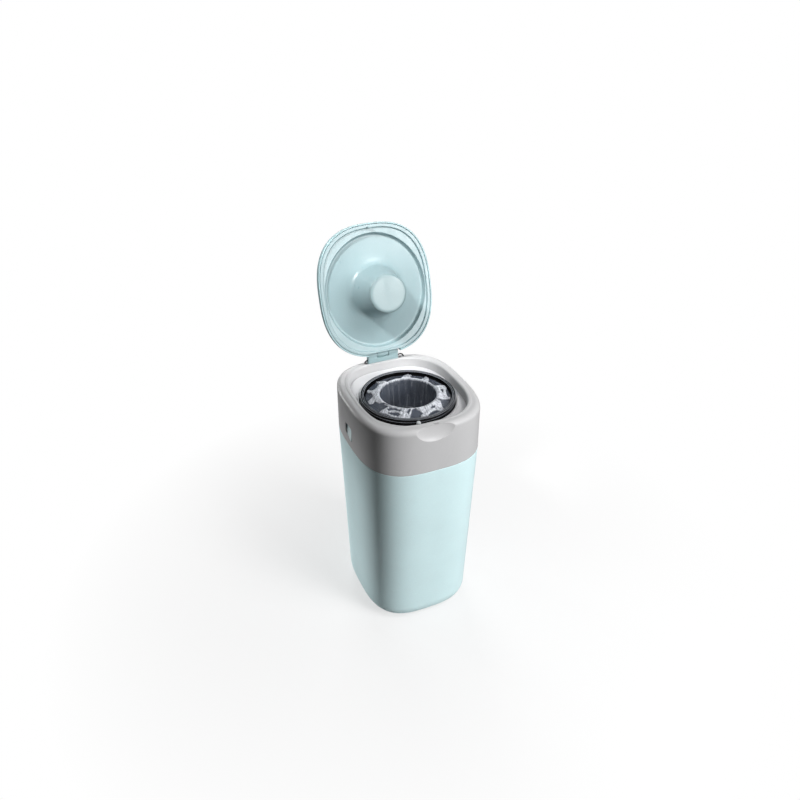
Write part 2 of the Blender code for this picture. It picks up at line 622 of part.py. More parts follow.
# Hinge block on the back of the rim, its clips and the lid's pin
def make_hinge_block():
    block = box("hinge_block", (-0.0320, LID_AXIS_Y - 0.0048, RIM_Z + GAP),
                (0.0320, LID_AXIS_Y + 0.0048, LID_AXIS_Z - 0.0060), mint, tool=False)
    for side in (-1, 1):
        x0, x1 = sorted((side * 0.0120, side * 0.0320))
        join(block, box("block_riser", (x0 + 0.0003, LID_AXIS_Y - 0.0045, RIM_Z + 0.002),
                        (x1 - 0.0003, LID_AXIS_Y + 0.0045, LID_AXIS_Z + 0.0006)))
        join(block, rod("block_knuckle", (x0, LID_AXIS_Y, LID_AXIS_Z),
                        (x1, LID_AXIS_Y, LID_AXIS_Z), 0.0054, sides=24))
    cut(block, rod("block_pin_hole", (-0.04, LID_AXIS_Y, LID_AXIS_Z),
                   (0.04, LID_AXIS_Y, LID_AXIS_Z), 0.0019))
    clips = []
    for side, word in ((-1, "left"), (1, "right")):
        z = RIM_Z
        profile = [(0.0, z + 0.0016), (0.0014, z + 0.0013), (0.0024, z + 0.0002),
                   (0.0025, z - 0.0030), (0.0020, z - 0.0060), (0.0, z - 0.0066)]
        clips.append(turned("block_clip_" + word, profile, steel, 16, False,
                            (side * 0.0355, 0.1215, 0.0)))
    pin = rod("lid_hinge_pin", (-0.0310, LID_AXIS_Y, LID_AXIS_Z), (0.0310, LID_AXIS_Y, LID_AXIS_Z),
              0.0016, steel, tool=False)
    return [block, pin] + clips


# Side catch: a wedge-shaped push pad, and behind it a latch with a hook
def make_catch(side, word):
    y0, y1 = CATCH_Y - 0.0155, CATCH_Y + 0.0155
    rows = [[], []]
    for cy, cz, start in ((y1, CATCH_HIGH, 0), (y0, CATCH_HIGH, 90), (y0, CATCH_LOW, 180), (y1, CATCH_LOW, 270)):
        cy += 0.0050 if cy == y0 else -0.0050
        cz += 0.0050 if cz == CATCH_LOW else -0.0050
        for k in range(4):
            t = math.radians(start + 30 * k)
            y, z = cy + 0.0050 * math.cos(t), cz + 0.0050 * math.sin(t)
            share = (CATCH_HIGH - z) / (CATCH_HIGH - CATCH_LOW)
            rows[0].append((side * 0.1166, y, z))
            rows[1].append((side * (0.1178 + 0.0040 * share), y, z))
    pad = loft("catch_button_" + word, rows, mint)
    inner = sorted((side * 0.1117, side * 0.1163))
    latch = box("catch_latch_" + word, (inner[0], CATCH_Y - 0.0070, CATCH_LOW + 0.0040),
                (inner[1], CATCH_Y + 0.0070, CATCH_LOW + 0.0180), white, tool=False)
    arm = sorted((side * 0.1117, side * 0.1137))
    join(latch, box("catch_arm", (arm[0], CATCH_Y - 0.0070, SEAM_Z + 0.0020),
                    (arm[1], CATCH_Y + 0.0070, CATCH_LOW + 0.0100)))
    nib = sorted((side * 0.1117, side * 0.1160))
    join(latch, box("catch_hook", (nib[0], CATCH_Y - 0.0070, SEAM_Z + 0.0035),
                    (nib[1], CATCH_Y + 0.0070, SEAM_Z + 0.0075)))
    return [pad, latch]


# Film cutter: a guarded blade on the inside of the head's front
def make_cutter():
    z = SEAM_Z + 0.0160
    line = [(-0.0180, 0.0), (0.0180, 0.0), (0.0180, 0.0150), (0.0060, 0.0150), (0.0040, 0.0060),
            (-0.0040, 0.0060), (-0.0060, 0.0150), (-0.0180, 0.0150)]
    stand = Matrix.Translation((0, -0.1290, z)) @ Matrix.Rotation(math.radians(90), 4, "X")
    body = plate("film_cutter", [line], 0.0045, stand, white)
    cut(body, box("blade_slot", (-0.0130, -0.1302, z + 0.0022), (0.0130, -0.1285, z + 0.0200)))
    edge = [(-0.0120, 0.0), (0.0120, 0.0), (0.0120, 0.0100), (0.0, 0.0045), (-0.0120, 0.0100)]
    where = Matrix.Translation((0, -0.12935, z + 0.0028)) @ Matrix.Rotation(math.radians(90), 4, "X")
    blade = plate("cutter_blade", [edge], 0.0003, where, steel)
    return [body, blade]


def build():
    tub = make_tub()
    tub_pin = rod("head_hinge_pin", (-0.0392, HEAD_AXIS_Y, HEAD_AXIS_Z),
                  (0.0392, HEAD_AXIS_Y, HEAD_AXIS_Z), 0.0020, steel, tool=False)
    head = [make_head(), make_deck(), make_pawl(), make_grip()]
    head += make_grip_screws() + make_hinge_block() + make_cutter()
    carrier = [make_carrier()] + make_cassette() + make_film()
    lid = [make_lid_outer(), make_plunger_tip()] + make_lid_inner()
    left = make_catch(-1, "left")
    right = make_catch(1, "right")

    head_axis = pivot("head_hinge", (0.0, HEAD_AXIS_Y, HEAD_AXIS_Z))
    lid_axis = pivot("lid_hinge", (0.0, LID_AXIS_Y, LID_AXIS_Z))
    ring_axis = pivot("ring_turn", (0.0, RING_Y, RING_TOP))
    bpy.context.view_layer.update()
    for group, axis in ((head, head_axis), (lid, lid_axis), (carrier, ring_axis),
                        (left + right, head_axis)):
        for obj in group:
            world = obj.matrix_world.copy()
            obj.parent = axis
            obj.matrix_parent_inverse = axis.matrix_world.inverted()
            obj.matrix_world = world
    for axis in (lid_axis, ring_axis):
        world = axis.matrix_world.copy()
        axis.parent = head_axis
        axis.matrix_parent_inverse = head_axis.matrix_world.inverted()
        axis.matrix_world = world
    return [tub, tub_pin] + head + carrier + lid + left + right


build()
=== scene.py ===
import math

import bmesh
import bpy
import numpy as np
from mathutils import Matrix, Vector, noise


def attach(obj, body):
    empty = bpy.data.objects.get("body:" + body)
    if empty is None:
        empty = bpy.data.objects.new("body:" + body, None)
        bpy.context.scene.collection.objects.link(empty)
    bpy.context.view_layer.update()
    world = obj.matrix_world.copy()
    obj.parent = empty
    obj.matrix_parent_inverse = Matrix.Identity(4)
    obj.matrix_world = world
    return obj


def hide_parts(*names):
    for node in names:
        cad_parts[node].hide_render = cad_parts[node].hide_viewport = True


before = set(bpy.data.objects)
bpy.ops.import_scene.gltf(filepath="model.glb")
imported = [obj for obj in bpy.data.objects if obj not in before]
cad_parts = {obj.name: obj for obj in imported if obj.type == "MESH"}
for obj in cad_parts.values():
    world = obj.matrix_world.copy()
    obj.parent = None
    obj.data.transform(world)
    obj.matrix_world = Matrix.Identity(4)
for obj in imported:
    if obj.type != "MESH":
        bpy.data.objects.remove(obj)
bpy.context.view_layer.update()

# Camera first: same place as the photograph's
turn, lift, away = -0.4102, 0.5599, 1.5
back = Vector((math.sin(turn) * math.cos(lift), -math.cos(turn) * math.cos(lift), math.sin(lift)))
right = Vector((math.cos(turn), math.sin(turn), 0.0))
target = Vector((0.0, 0.0, 0.4566)) + right * -0.0133
eye = bpy.data.cameras.new("camera")
eye.sensor_width = 36.0
eye.lens = 36.0 * 787.94 / 800.0
camera = bpy.data.objects.new("camera", eye)
camera.location = target + back * away
camera.rotation_mode = "QUATERNION"
camera.rotation_quaternion = (-back).to_track_quat("-Z", "Y")
bpy.context.scene.collection.objects.link(camera)
bpy.context.scene.camera = camera

# Driving sizes, the same as the CAD model's
HALF_W, HALF_D, SQUARE = 0.1200, 0.1368, 3.085
RIM_Z, SEAM_Z = 0.4809, 0.3848
BASE_HALF_W, BASE_HALF_D = 0.1091, 0.1196
FOOT_UP, FOOT_IN, WALL, GAP = 0.035, 0.026, 0.0028, 0.0003
RING_Y, RING_R, RING_TOP = -0.0047, 0.0901, RIM_Z - 0.0078
DECK_TOP, CAP_TOP = RIM_Z - 0.0190, RIM_Z - 0.0140
PAWL_ANGLE = math.radians(-102.5)
LID_HALF_W, LID_HALF_D, LID_SQUARE, LID_Y = 0.1150, 0.1285, 2.628, -0.0060
LIP_Z = RIM_Z + 0.0005
LID_AXIS_Y, LID_AXIS_Z, LID_OPEN = 0.1219, 0.4970, math.radians(107.3)
PLUNGER = 0.0610
HOLE_R, CAP_RISE = 0.0539, 0.0081
HEAD_AXIS_Y, HEAD_AXIS_Z = 0.1425, SEAM_Z
CATCH_Y, CATCH_LOW = 0.001, RIM_Z - 0.0815
# Opening for a push pad, back top, front top, front bottom, back bottom, as (y, z)
CATCH_SHAPE = [(CATCH_Y + 0.0150, CATCH_LOW + 0.0285), (CATCH_Y - 0.0155, CATCH_LOW + 0.0285),
               (CATCH_Y - 0.0155, CATCH_LOW + 0.0020), (CATCH_Y + 0.0150, CATCH_LOW + 0.0110)]
SEG = 240


# Mesh helpers
def link(obj):
    bpy.context.scene.collection.objects.link(obj)
    return obj


def outline(half_w, half_d, power, z, cy=0.0, count=SEG):
    a = 2.0 * np.pi * np.arange(count) / count
    c, s = np.cos(a), np.sin(a)
    r = (np.abs(c / half_w) ** power + np.abs(s / half_d) ** power) ** (-1.0 / power)
    return np.stack([r * c, cy + r * s, np.full(count, z)], axis=1)


def head_ring(inset, z):
    return outline(HALF_W - inset, HALF_D - inset, SQUARE - 8.0 * inset, z)


def lid_ring(inset, rise):
    power = max(2.0, LID_SQUARE - 5.0 * inset)
    return outline(LID_HALF_W - inset, LID_HALF_D - inset, power, LIP_Z + rise, LID_Y)


def circle(radius, z, cy=RING_Y, count=SEG):
    return outline(radius, radius, 2.0, z, cy, count)


def soften(rings, closed=False, steps=5):
    """Each ring comes with the length that is cut off its two neighbouring edges by a rounding."""
    points = [np.asarray(r[0], float) for r in rings]
    cuts = [r[1] for r in rings]
    out, n = [], len(rings)
    for k in range(n):
        if cuts[k] <= 0 or (not closed and k in (0, n - 1)):
            out.append(points[k])
            continue
        p = points[k]
        a, b = points[k - 1] - p, points[(k + 1) % n] - p
        la = np.linalg.norm(a, axis=1, keepdims=True) + 1e-9
        lb = np.linalg.norm(b, axis=1, keepdims=True) + 1e-9
        start = p + a / la * np.minimum(cuts[k], 0.48 * la)
        end = p + b / lb * np.minimum(cuts[k], 0.48 * lb)
        for t in np.linspace(0.0, 1.0, steps + 1):
            out.append((1 - t) ** 2 * start + 2 * t * (1 - t) * p + t * t * end)
    return out


def spline(points, steps=6):
    """Smooth line through two-number points."""
    p = [np.array(q, float) for q in points]
    p = [2 * p[0] - p[1]] + p + [2 * p[-1] - p[-2]]
    out = []
    for k in range(1, len(p) - 2):
        a, b, c, d = p[k - 1:k + 3]
        ab, bc, cd = (max(1e-6, np.linalg.norm(v) ** 0.5) for v in (b - a, c - b, d - c))
        m1 = bc * ((b - a) / ab - (c - a) / (ab + bc) + (c - b) / bc)
        m2 = bc * ((c - b) / bc - (d - b) / (bc + cd) + (d - c) / cd)
        for t in np.arange(steps) / steps:
            out.append((2 * t ** 3 - 3 * t ** 2 + 1) * b + (t ** 3 - 2 * t ** 2 + t) * m1
                       + (-2 * t ** 3 + 3 * t ** 2) * c + (t ** 3 - t ** 2) * m2)
    out.append(p[-2])
    return out


def polish(mesh, angle=32.0):
    """Smooth shading, with sharp edges beyond the angle."""
    mesh.shade_smooth()
    mesh.set_sharp_from_angle(angle=math.radians(angle))


def finished(name, bm, angle=32.0):
    """An object from a bmesh, which is freed."""
    mesh = bpy.data.meshes.new(name)
    bm.to_mesh(mesh)
    bm.free()
    polish(mesh, angle)
    return link(bpy.data.objects.new(name, mesh))


def made(name, verts, faces, angle=32.0, fix=True):
    mesh = bpy.data.meshes.new(name)
    mesh.from_pydata([tuple(v) for v in verts], [], faces)
    if fix:
        bm = bmesh.new()
        bm.from_mesh(mesh)
        bmesh.ops.recalc_face_normals(bm, faces=bm.faces)
        bm.to_mesh(mesh)
        bm.free()
    polish(mesh, angle)
    return link(bpy.data.objects.new(name, mesh))


def skin(name, rings, closed=False):
    """Skin rings that have as many points each; closed joins the last to the first."""
    n, count = len(rings), len(rings[0])
    verts = np.concatenate(rings)
    faces = []
    for k in range(n if closed else n - 1):
        lo, hi = k * count, ((k + 1) % n) * count
        faces += [(lo + i, lo + (i + 1) % count, hi + (i + 1) % count, hi + i) for i in range(count)]
    if not closed:
        faces.append(tuple(range(count))[::-1])
        faces.append(tuple(range((n - 1) * count, n * count)))
    return made(name, verts, faces)


def turned(name, profile, closed=True, count=SEG, cut=0.0, at=(0.0, RING_Y, 0.0), axis="Z", steps=4):
    """Turn (radius, height) or (radius, height, cut) points; axis X turns about a line along X."""
    rings = []
    for q in profile:
        ring = circle(max(q[0], 1e-5), q[1], 0.0, count)
        if axis == "X":
            ring = ring[:, [2, 0, 1]]
        rings.append((ring + np.array(at), q[2] if len(q) > 2 else cut))
    return skin(name, soften(rings, closed, steps), closed)


def block(name, low, high, bevel=0.0006):
    """A block with rounded edges."""
    bm = bmesh.new()
    bmesh.ops.create_cube(bm, size=1.0)
    low, high = Vector(low), Vector(high)
    for v in bm.verts:
        v.co = Vector((low[i] + (high[i] - low[i]) * (v.co[i] + 0.5) for i in range(3)))
    if bevel:
        bmesh.ops.bevel(bm, geom=list(bm.edges), offset=bevel, segments=3, profile=0.5,
                        affect="EDGES", clamp_overlap=True)
    return finished(name, bm, 50.0)


def pipe(name, x0, x1, radius, bore, y, z):
    """A knuckle along X, hollow for its pin."""
    low, high = sorted((x0, x1))
    bevel = 0.0005
    return turned(name, [(bore, low, bevel / 2), (radius, low, bevel), (radius, high, bevel),
                         (bore, high, bevel / 2)], count=64, at=(0, y, z), axis="X")


def merge(name, pieces):
    """Put several meshes in one object."""
    bm = bmesh.new()
    for o in pieces:
        o.data.transform(o.matrix_world)
        bm.from_mesh(o.data)
        bpy.data.objects.remove(o, do_unlink=True)
    return finished(name, bm)


def sphere(name, centre, radii):
    bm = bmesh.new()
    bmesh.ops.create_uvsphere(bm, u_segments=128, v_segments=64, radius=1.0)
    for v in bm.verts:
        v.co = Vector((v.co[i] * radii[i] + centre[i] for i in range(3)))
    return finished(name, bm, 180.0)


def rounded_box_x(name, x0, x1, y0, y1, z0, z1, radius, per=8):
    """A prism along X whose outline is a rounded rectangle in Y and Z."""
    pts = []
    for cy, cz, start in ((y1 - radius, z1 - radius, 0), (y0 + radius, z1 - radius, 90),
                          (y0 + radius, z0 + radius, 180), (y1 - radius, z0 + radius, 270)):
        for k in range(per + 1):
            t = math.radians(start + 90.0 * k / per)
            pts.append((cy + radius * math.cos(t), cz + radius * math.sin(t)))
    pts = np.array(pts)
    rings = [np.stack([np.full(len(pts), x), pts[:, 0], pts[:, 1]], axis=1) for x in (x0, x1)]
    return skin(name, rings)


def prism_x(name, x0, x1, corners, cut=0.003, per=6, fall=0.0):
    """A prism along X with softened corners; fall moves the second end outwards lower down."""
    pts, n = [], len(corners)
    for k in range(n):
        p = np.array(corners[k], float)
        a, b = np.array(corners[k - 1]) - p, np.array(corners[(k + 1) % n]) - p
        start, end = p + a / np.linalg.norm(a) * cut, p + b / np.linalg.norm(b) * cut
        for t in np.linspace(0.0, 1.0, per + 1):
            pts.append((1 - t) ** 2 * start + 2 * t * (1 - t) * p + t * t * end)
    pts = np.array(pts)
    high = pts[:, 1].max()
    ends = [np.full(len(pts), x0), x1 + math.copysign(fall, x1) * (high - pts[:, 1])]
    return [np.stack([e, pts[:, 0], pts[:, 1]], axis=1) for e in ends]


def combine(obj, tool, operation):
    """Boolean with a tool object, applied at once; the tool goes."""
    mod = obj.modifiers.new("cut", "BOOLEAN")
    mod.operation, mod.solver, mod.object = operation, "EXACT", tool
    bpy.context.view_layer.update()
    graph = bpy.context.evaluated_depsgraph_get()
    mesh = bpy.data.meshes.new_from_object(obj.evaluated_get(graph))
    obj.modifiers.clear()
    obj.data = mesh
    bpy.data.objects.remove(tool, do_unlink=True)
    polish(mesh)
    return obj


def swing(obj):
    """From the closed lid's place to the open one."""
    there = Matrix.Translation((0.0, LID_AXIS_Y, LID_AXIS_Z))
    obj.data.transform(there @ Matrix.Rotation(-LID_OPEN, 4, "X") @ there.inverted())
    return obj


# Materials
def linear(*rgb):
    """A colour from 0 to 255 a channel, as the linear values that the shaders take."""
    return tuple(((c / 255 + 0.055) / 1.055) ** 2.4 if c > 10 else c / 255 / 12.92 for c in rgb) + (1.0,)


def put(node, **values):
    """Set a node's input values; an underline in a key stands for a space."""
    for key, value in values.items():
        node.inputs[key.replace("_", " ")].default_value = value


def paler(colour, factor, offset):
    return tuple(min(1.0, c * factor + offset) for c in colour[:3]) + (1.0,)


def material(name, colour):
    """A new material with its node tree, shader and object coordinates."""
    mat = bpy.data.materials.new(name)
    mat.use_nodes = True
    mat.diffuse_color = colour
    nodes, links = mat.node_tree.nodes, mat.node_tree.links
    return mat, nodes, links, nodes["Principled BSDF"], nodes.new("ShaderNodeTexCoord").outputs["Object"]


def plastic(name, colour, rough=0.4, grain=1400.0, grain_depth=0.00002, wave=9.0, wave_depth=0.00012,
            vary=0.05, wear=0.12, subsurface=0.0, specular=0.5, scuff=0.06):
    """Moulded plastic: uneven colour, fine grain, slow waviness of the moulding, paler worn edges."""
    mat, nodes, links, shader, where = material(name, colour)

    def noise_at(scale, detail, uneven=0.5, stretch=None):
        tex = nodes.new("ShaderNodeTexNoise")
        put(tex, Scale=scale, Detail=detail, Roughness=uneven)
        place = where
        if stretch:
            m = nodes.new("ShaderNodeMapping")
            put(m, Scale=stretch)
            links.new(where, m.inputs["Vector"])
            place = m.outputs["Vector"]
        links.new(place, tex.inputs["Vector"])
        return tex.outputs["Fac"]

    def ranged(source, low, high, out_low, out_high):
        r = nodes.new("ShaderNodeMapRange")
        put(r, From_Min=low, From_Max=high, To_Min=out_low, To_Max=out_high)
        links.new(source, r.inputs["Value"])
        return r.outputs["Result"]

    def mixed(kind):
        node = nodes.new("ShaderNodeMix")
        node.data_type, node.blend_type = "RGBA", kind
        return node

    # Cloudy colour, fine specks, and paler edges where the part is handled
    shade = mixed("MULTIPLY")
    shade.inputs["Factor"].default_value = 1.0
    shade.inputs["A"].default_value = colour
    tone = nodes.new("ShaderNodeCombineColor")
    level = ranged(noise_at(11.0, 5.0, 0.6), 0.3, 0.7, 1.0 - vary, 1.0)
    for channel in ("Red", "Green", "Blue"):
        links.new(level, tone.inputs[channel])
    links.new(tone.outputs["Color"], shade.inputs["B"])
    fine = mixed("MIX")
    links.new(shade.outputs["Result"], fine.inputs["A"])
    fine.inputs["B"].default_value = paler(colour, 1.12, 0.01)
    links.new(ranged(noise_at(620.0, 2.0), 0.56, 0.72, 0.0, 0.35), fine.inputs["Factor"])
    edge = nodes.new("ShaderNodeNewGeometry").outputs["Pointiness"]
    worn = mixed("MIX")
    links.new(fine.outputs["Result"], worn.inputs["A"])
    worn.inputs["B"].default_value = paler(colour, 1.25, 0.03)
    links.new(ranged(edge, 0.52, 0.60, 0.0, wear), worn.inputs["Factor"])
    links.new(worn.outputs["Result"], shader.inputs["Base Color"])

    streak = noise_at(60.0, 4.0, 0.65, (1.0, 1.0, 0.25))
    links.new(ranged(streak, 0.3, 0.7, rough - scuff, rough + scuff), shader.inputs["Roughness"])

    # Slow waves under the fine grain
    under = None
    for scale, depth in ((wave, wave_depth), (grain, grain_depth)):
        bump = nodes.new("ShaderNodeBump")
        put(bump, Strength=1.0, Distance=depth)
        links.new(noise_at(scale, 2.0), bump.inputs["Height"])
        if under:
            links.new(under, bump.inputs["Normal"])
        under = bump.outputs["Normal"]
    links.new(under, shader.inputs["Normal"])
    put(shader, Specular_IOR_Level=specular, Subsurface_Weight=subsurface,
        Subsurface_Radius=(0.6, 1.0, 1.0), Subsurface_Scale=0.006)
    return mat


mint = plastic("mint_plastic", linear(214, 240, 243), 0.42, subsurface=0.05, specular=0.30)
# Painted shade: the lid, its liner, the plunger end and the hinge block use darker copies of the tub's mint
# plastic, which paint in the weaker light they get
mint_lid_painted_shade = plastic("mint_lid_painted_shade_plastic", linear(160, 187, 191), 0.40, subsurface=0.05, specular=0.35)
mint_pad = plastic("mint_pad_plastic", linear(222, 243, 245), 0.36, subsurface=0.05, specular=0.35)
mint_clear_painted_shade = plastic("mint_clear_plastic", linear(144, 166, 170), 0.32, subsurface=0.10, grain_depth=0.00001,
                     wave_depth=0.00020, scuff=0.05, specular=0.4)
mint_tip_painted_shade = plastic("mint_tip_painted_shade_plastic", linear(128, 148, 151), 0.34, subsurface=0.10,
                   wave_depth=0.00010, specular=0.4)
grey = plastic("grey_plastic", linear(191, 191, 192), 0.42, vary=0.05, wear=0.14, specular=0.3)
pale = plastic("pale_plastic", linear(222, 222, 224), 0.40, vary=0.05, specular=0.3)
black = plastic("black_gloss", linear(12, 12, 14), 0.22, wave=40.0, wave_depth=0.00004, grain_depth=0.000004,
                vary=0.2, wear=0.05, scuff=0.05, specular=0.08)
# Painted highlight: a pale grey on the black ring's beads draws its fine light lines
bead_painted_highlight = plastic("bead_painted_highlight_grey", linear(160, 165, 173), 0.30, vary=0.5, wear=0.3, scuff=0.05, specular=0.4)
slate = plastic("slate_clear_plastic", linear(62, 68, 80), 0.24, wave=30.0, wave_depth=0.00008,
                grain_depth=0.000006, vary=0.15, wear=0.10, specular=0.18)
white = plastic("white_plastic", linear(222, 226, 228), 0.38, specular=0.35)
soft_white = plastic("soft_white_plastic", linear(196, 200, 202), 0.45, specular=0.25)


def metal(name, colour, rough):
    """Brushed metal: streaks along the part in its colour, gloss and height."""
    mat, nodes, links, shader, where = material(name, colour)
    stretch = nodes.new("ShaderNodeMapping")
    put(stretch, Scale=(1.0, 6.0, 6.0))
    links.new(where, stretch.inputs["Vector"])
    tex = nodes.new("ShaderNodeTexNoise")
    put(tex, Scale=500.0, Detail=3.0)
    links.new(stretch.outputs["Vector"], tex.inputs["Vector"])
    ramp = nodes.new("ShaderNodeMapRange")
    put(ramp, To_Min=rough - 0.10, To_Max=rough + 0.12)
    links.new(tex.outputs["Fac"], ramp.inputs["Value"])
    links.new(ramp.outputs["Result"], shader.inputs["Roughness"])
    mix = nodes.new("ShaderNodeMix")
    mix.data_type = "RGBA"
    mix.inputs["A"].default_value = tuple(c * 0.8 for c in colour[:3]) + (1.0,)
    mix.inputs["B"].default_value = colour
    links.new(tex.outputs["Fac"], mix.inputs["Factor"])
    links.new(mix.outputs["Result"], shader.inputs["Base Color"])
    bump = nodes.new("ShaderNodeBump")
    put(bump, Distance=0.00001)
    links.new(tex.outputs["Fac"], bump.inputs["Height"])
    links.new(bump.outputs["Normal"], shader.inputs["Normal"])
    put(shader, Metallic=1.0)
    return mat


steel = metal("steel", linear(150, 152, 156), 0.32)
dark_steel = metal("dark_steel", linear(28, 29, 31), 0.42)


def film_material():
    """Thin clear film: almost unseen where it lies flat, whiter where it is folded on itself."""
    mat, nodes, links, shader, where = material("film", (0.8, 0.85, 0.9, 0.6))
    fold = nodes.new("ShaderNodeAttribute")
    fold.attribute_name = "fold"
    crease = nodes.new("ShaderNodeTexNoise")
    put(crease, Scale=420.0, Detail=5.0, Roughness=0.65, Distortion=1.2)
    links.new(where, crease.inputs["Vector"])
    small = nodes.new("ShaderNodeTexVoronoi")
    small.feature = "DISTANCE_TO_EDGE"
    put(small, Scale=330.0)
    links.new(where, small.inputs["Vector"])
    near = nodes.new("ShaderNodeMapRange")
    put(near, From_Min=0.0, From_Max=0.12, To_Min=0.12, To_Max=-0.04)
    links.new(small.outputs["Distance"], near.inputs["Value"])
    add = nodes.new("ShaderNodeMath")
    add.operation = "MULTIPLY_ADD"
    add.inputs[1].default_value = 0.45
    links.new(crease.outputs["Fac"], add.inputs[0])
    links.new(fold.outputs["Fac"], add.inputs[2])
    both = nodes.new("ShaderNodeMath")
    links.new(add.outputs["Value"], both.inputs[0])
    links.new(near.outputs["Result"], both.inputs[1])
    cover = nodes.new("ShaderNodeMapRange")
    put(cover, From_Min=0.32, From_Max=1.05, To_Min=0.03, To_Max=0.92)
    links.new(both.outputs["Value"], cover.inputs["Value"])
    links.new(cover.outputs["Result"], shader.inputs["Alpha"])
    tint = nodes.new("ShaderNodeMix")
    tint.data_type = "RGBA"
    tint.inputs["A"].default_value = linear(196, 204, 216)
    tint.inputs["B"].default_value = linear(226, 229, 236)
    links.new(both.outputs["Value"], tint.inputs["Factor"])
    links.new(tint.outputs["Result"], shader.inputs["Base Color"])
    bump = nodes.new("ShaderNodeBump")
    put(bump, Distance=0.0003)
    links.new(crease.outputs["Fac"], bump.inputs["Height"])
    links.new(bump.outputs["Normal"], shader.inputs["Normal"])
    put(shader, Roughness=0.28, Specular_IOR_Level=0.5)
    return mat


film = film_material()


def dress(obj, mat, body, slot, *nodes):
    obj.data.materials.clear()
    obj.data.materials.append(mat)
    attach(obj, body)
    if nodes:
        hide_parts(*nodes)
    return obj


# Tub
def tub_ring(z, inset, at=None):
    fall = 1.0 - (z if at is None else at) / SEAM_Z
    return outline(HALF_W + (BASE_HALF_W - HALF_W) * fall - inset,
                   HALF_D + (BASE_HALF_D - HALF_D) * fall - inset,
                   SQUARE + (3.03 - SQUARE) * fall, z)


def make_tub():
    rings = []
    for deg in np.linspace(90, 7, 22):
        t = math.radians(deg)
        rings.append((tub_ring(FOOT_UP * (1 - math.sin(t)), FOOT_IN * (1 - math.cos(t)), FOOT_UP), 0))
    rings.append((tub_ring(FOOT_UP, 0.0), 0.0004))
    for z in np.linspace(FOOT_UP + 0.002, SEAM_Z - 0.0030, 16):
        rings.append((tub_ring(z, 0.0), 0))
    lip = [(SEAM_Z - GAP, 0.0, None, 0.0009), (SEAM_Z - GAP, 0.0034, None, 0.0005),
           (SEAM_Z + 0.0120, 0.0034, SEAM_Z, 0.0008), (SEAM_Z + 0.0120, 0.0058, SEAM_Z, 0.0006),
           (SEAM_Z - 0.0060, 0.0058, None, 0.002), (SEAM_Z - 0.0120, WALL, None, 0.002),
           (FOOT_UP + 0.02, WALL, None, 0)]
    rings += [(tub_ring(z, i, at), cut) for z, i, at, cut in lip]
    for deg in np.linspace(0, 90, 14):
        t = math.radians(deg)
        rings.append((tub_ring(0.0032 + (FOOT_UP - 0.0032) * (1 - math.sin(t)),
                               WALL + (FOOT_IN - WALL) * (1 - math.cos(t)), FOOT_UP), 0))
    tub = skin("tub_body", soften(rings, False, 4))
    for side in (-1, 1):
        x0, x1 = sorted((side * 0.110, side * 0.1172))
        combine(tub, rounded_box_x("notch", x0, x1, CATCH_Y - 0.0095, CATCH_Y + 0.0095,
                                   SEAM_Z + 0.0010, SEAM_Z + 0.02, 0.001, 4), "DIFFERENCE")
    dress(tub, mint, "tub", "mint_plastic", "tub_shell")
    knuckles = []
    for side in (-1, 1):
        x0, x1 = sorted((side * 0.0220, side * 0.0400))
        knuckles.append(block("web", (x0 + 0.0003, 0.1350, SEAM_Z - 0.0130),
                              (x1 - 0.0003, HEAD_AXIS_Y + 0.0010, SEAM_Z - 0.0006)))
        knuckles.append(pipe("barrel", x0, x1, 0.0055, 0.0021, HEAD_AXIS_Y, HEAD_AXIS_Z))
    dress(merge("tub_knuckles", knuckles), mint, "tub", "mint_plastic")


